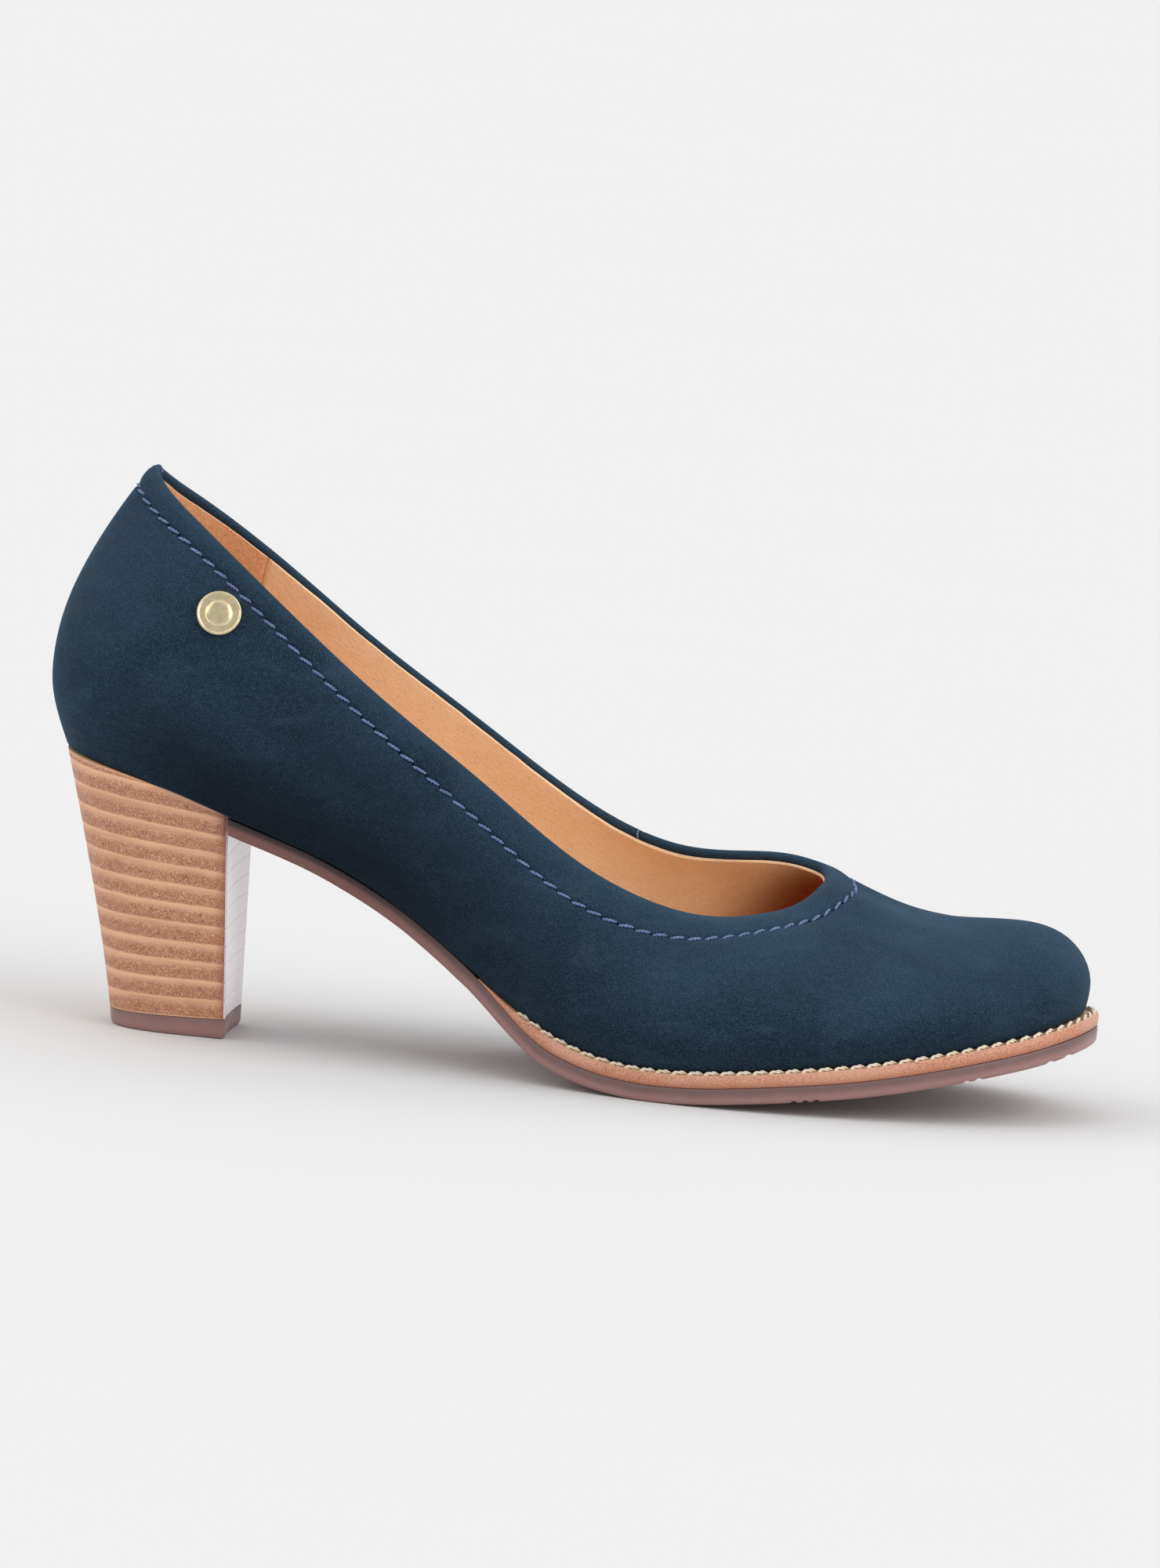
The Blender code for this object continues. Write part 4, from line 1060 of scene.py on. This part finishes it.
def sole_level(x, share):
    """Height of the outsole at a share of its thickness, from its top down. It rests on
    the ground at the ball."""
    ball = np.linspace(115, 150, 71)
    thick = welt_height(ball) + SOLE_THICK + 0.6
    ground = (feather_height(ball) - thick * steepness(ball)).min()
    low = feather_height(x) - (welt_height(x) + SOLE_THICK + 0.6) * steepness(x) - ground
    high = feather_height(x) - (welt_height(x) + 0.15) * steepness(x)
    return high + (np.maximum(low, 0.0) - high) * share


def tread_grooves(points):
    """Depth of the grooves of the tread, which run across it in wavy groups."""
    x = points[..., 0] + 1.5 * np.sin(points[..., 1] / 8.0)
    depth = np.zeros(x.shape)
    for first, pitch, count in TREAD_GROUPS:
        for k in range(count):
            away = (x - first - k * pitch) / TREAD_WIDTH
            depth = np.maximum(depth, TREAD_DEPTH * np.exp(-(away**4)))
    return depth


def build_outsole():
    """The rubber outsole, with rounded edges and a grooved tread."""
    side = (
        (0.0, -1.4), (0.0, -0.3), (0.04, -0.08), (0.12, 0.0), (0.3, 0.03), (0.48, 0.0),
        (0.52, -0.04), (0.7, 0.0), (0.82, -0.05), (0.9, -0.18), (0.96, -0.42), (1.0, -0.9), (1.0, -1.6),
    )
    across = 26
    start = breast_x(SOLE_BACK) + 0.3
    grid, shares = slab(start, 0.5, sole_margin, side, across, sole_level)
    steps = np.linspace(0, 1, across + 2)[1:-1]
    inner = np.zeros(grid.shape[1])
    inner[len(side) : len(side) + across] = smooth(np.minimum(steps, 1 - steps), 0.04, 0.1)
    notches = sum(np.exp(-(((grid[..., 0] - x) / NOTCH_WIDTH) ** 4)) for x in EDGE_NOTCHES)
    grid[..., 2] += tread_grooves(grid) * inner + NOTCH_DEPTH * notches * smooth(shares, 0.84, 1.0)
    grid[..., :2] += 0.04 * waves(grid, 5.0)[..., None]
    # height feeds the rubber's painted light towards the ground; shade sets its painted shade at the
    # waist, fading out towards the ball.
    values = {"height": 1 - shares.ravel(), "shade": 1 - smooth(grid[..., 0].ravel(), 50, 100)}
    add_piece("outsole_rubber", grid, slab_faces(grid, across), ["rubber"], ["outsole"], values)


def build_welt():
    """The welt, with a rounded edge and a shallow channel for its stitches."""
    us = np.linspace(u_at(WELT_START, -1, 0.0), u_at(WELT_START, 1, 0.0), 330)
    x = surface(us, 0.0)[:, 0, 0]
    margin, thick = sole_margin(x), np.maximum(welt_height(x), 0.1) * steepness(x)
    rows = (
        (-WELT_INNER, 0, 0), (-1.2, 0, 0), (-0.3, 0.01, 0), (0.2, 0.01, 0), (0.55, 0.04, 0),
        (0.95, 0.1, 0), (1.35, 0.1, 0), (1.7, 0.06, 0), (2.0, 0.07, 0.15), (2.25, 0.13, 0.5),
        (2.42, 0.25, 1), (2.5, 0.45, 1), (2.5, 0.75, 1), (2.42, 0.95, 1), (2.2, 1, 1),
        (-WELT_INNER, 1, 0),
    )
    ring, side = [], []
    for offset, share, value in rows:
        reach = offset if offset < 0 else margin * offset / WELT_MARGIN
        rough = 0.06 * waves(beside(us, offset, share * 3), 3.0) * value
        ring.append(beside(us, reach + rough, -0.12 - thick * share))
        side.append(np.full(len(us), value))
    grid = np.stack(ring, axis=1)
    down = np.tile([share for _, share, _ in rows], len(us))
    values = {"side": np.stack(side, axis=1).ravel(), "down": down}
    outermost = 11  # the row where the edge stands out furthest
    add_piece("welt_leather_strip", grid, wall_faces(grid, outermost), ["welt"], ["welt"], values)


def build_welt_seam():
    """The lockstitch along the welt."""
    us = np.linspace(u_at(WELT_START + 10, -1, 0.0), u_at(WELT_START + 10, 1, 0.0), 500)
    path = beside(us, sole_margin(surface(us, 0.0)[:, 0, 0]) - WELT_SEAM_IN, -0.2)
    ups = np.tile((0, 0, 1.0), (len(us), 1))
    points, faces, _, _ = stitches(path, ups, **WELT_STITCH)
    add_piece("welt_stitches", points, faces, ["cream_thread"], ["welt_thread"])


def build_sock():
    """The sock lining on its foam, dished along the middle, with rounded edges."""
    start = surface(np.linspace(0, 1, 721), 0.0)[:, 0, 0].min() + 0.3
    across = 14
    side = ((0.0, -0.6), (0.12, -0.12), (0.5, 0.0), (0.88, -0.12), (1.0, -0.6))
    for name, (low, high), inset, look, replaced in (
        ("sock_lining_leather", SOCK, 3.9, "sock", "sock_lining"),
        ("foam_cushion_pad", FOAM, 4.3, "foam", "foam_cushion"),
    ):
        def level(x, share, low=low, high=high):
            return feather_height(x) + high + (low - high) * share

        grid, shares = slab(start, 1.5, lambda x: 0 * x - inset, side, across, level)
        dish = np.zeros(grid.shape[1])
        dish[-across:] = 0.35 * np.sin(math.pi * np.linspace(0, 1, across + 2)[1:-1])
        grid[..., 2] -= dish - 0.08 * waves(grid, 17) * (dish > 0)
        values = {"rim": 0 * shares.ravel(), "laid": (grid * (1, 1, 0)).reshape(-1, 3)}
        piece = add_piece(name, grid, slab_faces(grid, across), [look], [replaced], values)


# ---------------------------------------------------------------- heel


def breast_x(z):
    return HEEL_TREAD_FRONT + (HEEL_TOP_BREAST - HEEL_TREAD_FRONT) * z / HEEL_SEAT_HEIGHT


def heel_plan(z, inset=0.0):
    """Plan of the heel at height z, from the middle of the breast round the outer side."""
    share = z / HEEL_SEAT_HEIGHT
    back = HEEL_TREAD_BACK + (HEEL_TOP_BACK - HEEL_TREAD_BACK) * share**1.2 + inset
    front = breast_x(z) - inset
    half = HEEL_TREAD_HALF_WIDTH + (HEEL_TOP_HALF_WIDTH - HEEL_TREAD_HALF_WIDTH) * share**1.1 - inset
    middle = back + 0.6 * (front - back)
    radius = 1.3
    plan = []
    for y in np.linspace(0, half - radius, 10):
        plan.append((front - 0.5 * (1 - (y / half) ** 2), -y))
    for turn in np.linspace(0, math.pi / 2, 7)[1:]:
        across = half - radius + radius * math.sin(turn)
        plan.append((front - radius + radius * math.cos(turn), -across))
    for x in np.linspace(front - radius, middle, 9)[1:-1]:
        plan.append((x, -half))
    for turn in np.linspace(0, math.pi / 2, 40):
        along = max(math.cos(turn), 0.0) ** (2 / 2.4)
        aside = math.sin(turn) ** (2 / 2.4)
        plan.append((middle - (middle - back) * aside, -half * along))
    return np.array(plan + [(x, -y) for x, y in plan[-2:0:-1]])


def lift_plane(number, x):
    """Height at x of the joint above lift number; 0 is the top piece's joint."""
    low = TOP_PIECE[0] + number * LIFT_BACK
    high = TOP_PIECE[1] + number * LIFT_FRONT
    return low + (high - low) * x / HEEL_TREAD_FRONT


def heel_block(name, low_of, high_of, rows, looks, replaced):
    """A slice of the heel between two surfaces, cut off where it runs out as a wedge. rows
    are (share of the height, inset)."""
    middle = float(low_of(5.0) + high_of(5.0)) / 2
    x = heel_plan(middle)[:, 0]
    along = np.linspace(x.min(), x.max(), 1500)
    end = along[high_of(along) - low_of(along) > 0.04].max()
    rings = []
    for share, inset in rows:
        z = low_of(x) + (high_of(x) - low_of(x)) * share
        ring = np.array([heel_plan(height, inset)[k] for k, height in enumerate(z)])
        if end < x.max() - 1:
            widest = np.abs(ring[ring[:, 0] <= end, 1]).max()
            ring = np.column_stack([np.minimum(ring[:, 0], end), np.clip(ring[:, 1], -widest, widest)])
        low = low_of(ring[:, 0])
        thick = np.maximum(high_of(ring[:, 0]) - low, 0.03)
        rings.append(np.column_stack([ring, low + thick * share]))
    grid = np.array(rings)
    count, size = grid.shape[:2]
    faces = ring_faces(count, size)
    for base in (0, (count - 1) * size):
        for j in range(size // 2):
            corners = (j, j + 1, (-j - 1) % size, -j % size)
            faces.append(tuple(dict.fromkeys(base + corner for corner in corners)))
    band = np.repeat([share for share, _ in rows], size)
    from_breast = np.abs(grid[0, :, 0] - breast_x(middle) + 1.0)
    corner = np.exp(-((from_breast / 1.1) ** 2)) * (np.abs(grid[0, :, 1]) > 4)
    # height also feeds the top piece's painted light, paler and pinker towards the ground.
    values = {"band": band, "height": 0.1 + 0.5 * band, "corner": np.tile(corner, count)}
    piece = add_piece(name, grid, faces, looks, [replaced], values)
    if len(looks) > 1:
        for face in piece.data.polygons:
            front = face.center.x / MM - SHIFT[0] > breast_x(middle) - 1.4
            face.material_index = int(front and face.normal.x > 0.7)


def build_heel():
    """The rubber top piece and the leather lifts. Each has slightly eased edges."""
    tread = (
        (0, 1.2), (0.0, 0.75), (0.05, 0.35), (0.14, 0.1), (0.3, 0.0),
        (0.6, 0.03), (0.9, 0.0), (0.985, 0.06), (1.0, 0.5),
    )
    heel_block("heel_top_piece_rubber", lambda x: 0 * x, lambda x: lift_plane(0, x) - 0.05, tread,
               ["rubber"], "heel_top_piece")
    eased = (
        (0, 0.6), (0.0, 0.05), (0.02, 0.01), (0.12, 0.0), (0.5, 0.0),
        (0.88, 0.0), (0.98, 0.01), (1.0, 0.05), (1.0, 0.6),
    )
    for number in range(1, LIFTS + 1):

        def low_of(x, number=number):
            return lift_plane(number - 1, x) + 0.01

        def high_of(x, number=number):
            return np.minimum(lift_plane(number, x) - 0.01, feather_height(x) - 0.1)

        heel_block(f"heel_lift_{number:02d}_leather", low_of, high_of, eased,
                   ["stack", "breast"], f"heel_lift_{number:02d}")


# ---------------------------------------------------------------- stage


def sun(name, come_from, strength, angle):
    """A distant light. Its angle, in degrees, says how soft its shadows are."""
    lamp = bpy.data.lights.new(name, "SUN")
    lamp.energy = strength
    lamp.angle = math.radians(angle)
    obj = bpy.data.objects.new(name, lamp)
    bpy.context.scene.collection.objects.link(obj)
    obj.rotation_euler = Vector(come_from).to_track_quat("Z", "Y").to_euler()


def build_stage():
    """Pale floor, even light from all round, and broad soft lights above the toe, above the
    heel and overhead."""
    scene = bpy.context.scene
    scene.view_settings.view_transform = "Standard"
    look = Look("studio_floor", 0.8, Specular_IOR_Level=0.1)
    paper = look.noise(60, detail=2)
    base = look.mix(paper, (0.72, 0.72, 0.72, 1), (0.724, 0.724, 0.724, 1))
    half = 12.0
    corners = [(-half, -half, 0), (half, -half, 0), (half, half, 0), (-half, half, 0)]
    mesh = bpy.data.meshes.new("studio_floor")
    mesh.from_pydata(corners, [], [(0, 1, 2, 3)])
    mesh.materials.append(look.finish(base))
    floor = bpy.data.objects.new("studio_floor", mesh)
    scene.collection.objects.link(floor)
    floor.location.z = -0.02 * MM
    floor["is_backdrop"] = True

    world = bpy.data.worlds.new("studio")
    scene.world = world
    world.use_nodes = True
    sky = world.node_tree.nodes["Background"]
    sky.inputs["Color"].default_value = (1, 1, 1, 1)
    sky.inputs["Strength"].default_value = WORLD_LIGHT
    sun("key_light", (1.0, -0.45, 0.65), KEY_LIGHT, 60)
    sun("heel_light", (-1.0, -0.35, 0.8), BACK_LIGHT, 60)
    sun("top_light", (0.1, 0.3, 1.0), TOP_LIGHT, 80)


def build_camera():
    """A long lens, low and a little towards the toe, with a slight tilt."""
    scene = bpy.context.scene
    lens = bpy.data.cameras.new("camera")
    lens.lens = 450
    lens.sensor_width = 36
    lens.clip_end = 100
    camera = bpy.data.objects.new("camera", lens)
    scene.collection.objects.link(camera)
    yaw, rise, tilt = (math.radians(angle) for angle in (6.5, 7.8, 4.8))
    away = Vector((math.sin(yaw) * math.cos(rise), -math.cos(yaw) * math.cos(rise), math.sin(rise)))
    camera.location = Vector(CAMERA_TARGET) + away * CAMERA_DISTANCE
    turn = (-away).to_track_quat("-Z", "Y").to_matrix() @ Matrix.Rotation(tilt, 3, "Z")
    camera.rotation_euler = turn.to_euler()
    scene.camera = camera


# ---------------------------------------------------------------- the whole shoe


def dress_hidden_nodes():
    """Materials for the CAD pieces that stay: those inside the shoe."""
    for name, look in (
        ("badge_washer", "steel"), ("steel_shank", "steel"), ("heel_screw", "steel"),
        ("heel_nail_1", "steel"), ("heel_nail_2", "steel"), ("heel_nail_3", "steel"),
        ("heel_nail_4", "steel"), ("insole_board", "board"), ("shank_board", "board"),
        ("cork_filler", "cork"),
    ):
        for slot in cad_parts[name].material_slots:
            slot.material = LOOKS[look]


def make_looks():
    return {
        "nubuck": nubuck(),
        "lining": lining_leather("tan_lining"),
        "grip": lining_leather("tan_heel_grip", rough=True),
        "sock": lining_leather("tan_sock"),
        "stack": stacked_leather("heel_leather"),
        "breast": stacked_leather("heel_breast_leather", polished_with_painted_reflection=True),
        "welt": welt_leather(),
        "rubber": rubber(),
        "blue_thread": thread("blue_thread", colour(138, 158, 202), colour(44, 60, 108)),
        "cream_thread": thread("cream_thread", colour(250, 240, 222), colour(222, 202, 172)),
        "gold": metal("pale_gold", colour(226, 210, 172), colour(212, 194, 154), 0.24),
        "steel": metal("plain_steel", colour(176, 176, 178), colour(150, 150, 154), 0.35),
        "board": pressed("insole_fibre_board", colour(176, 150, 116), colour(140, 112, 80), 0.8),
        "cork": pressed("cork_fill", colour(170, 128, 84), colour(110, 72, 44), 1.8),
        "felt": pressed("stiffener_felt", colour(216, 210, 196), colour(196, 188, 170), 0.5),
        "foam": pressed("latex_foam", colour(228, 214, 180), colour(206, 188, 150), 0.7),
        "hole": painted_hole_shadow(),
    }


LOOKS = make_looks()

build_upper()
build_topline_seam()
build_linings()
build_stiffeners()
build_badge()
build_outsole()
build_welt()
build_welt_seam()
build_sock()
build_heel()
dress_hidden_nodes()
build_stage()
build_camera()

shown_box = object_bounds()
sizes = {"cad": cad_box, "visual": shown_box}
sizes = {key: [list(corner) for corner in box] for key, box in sizes.items()}
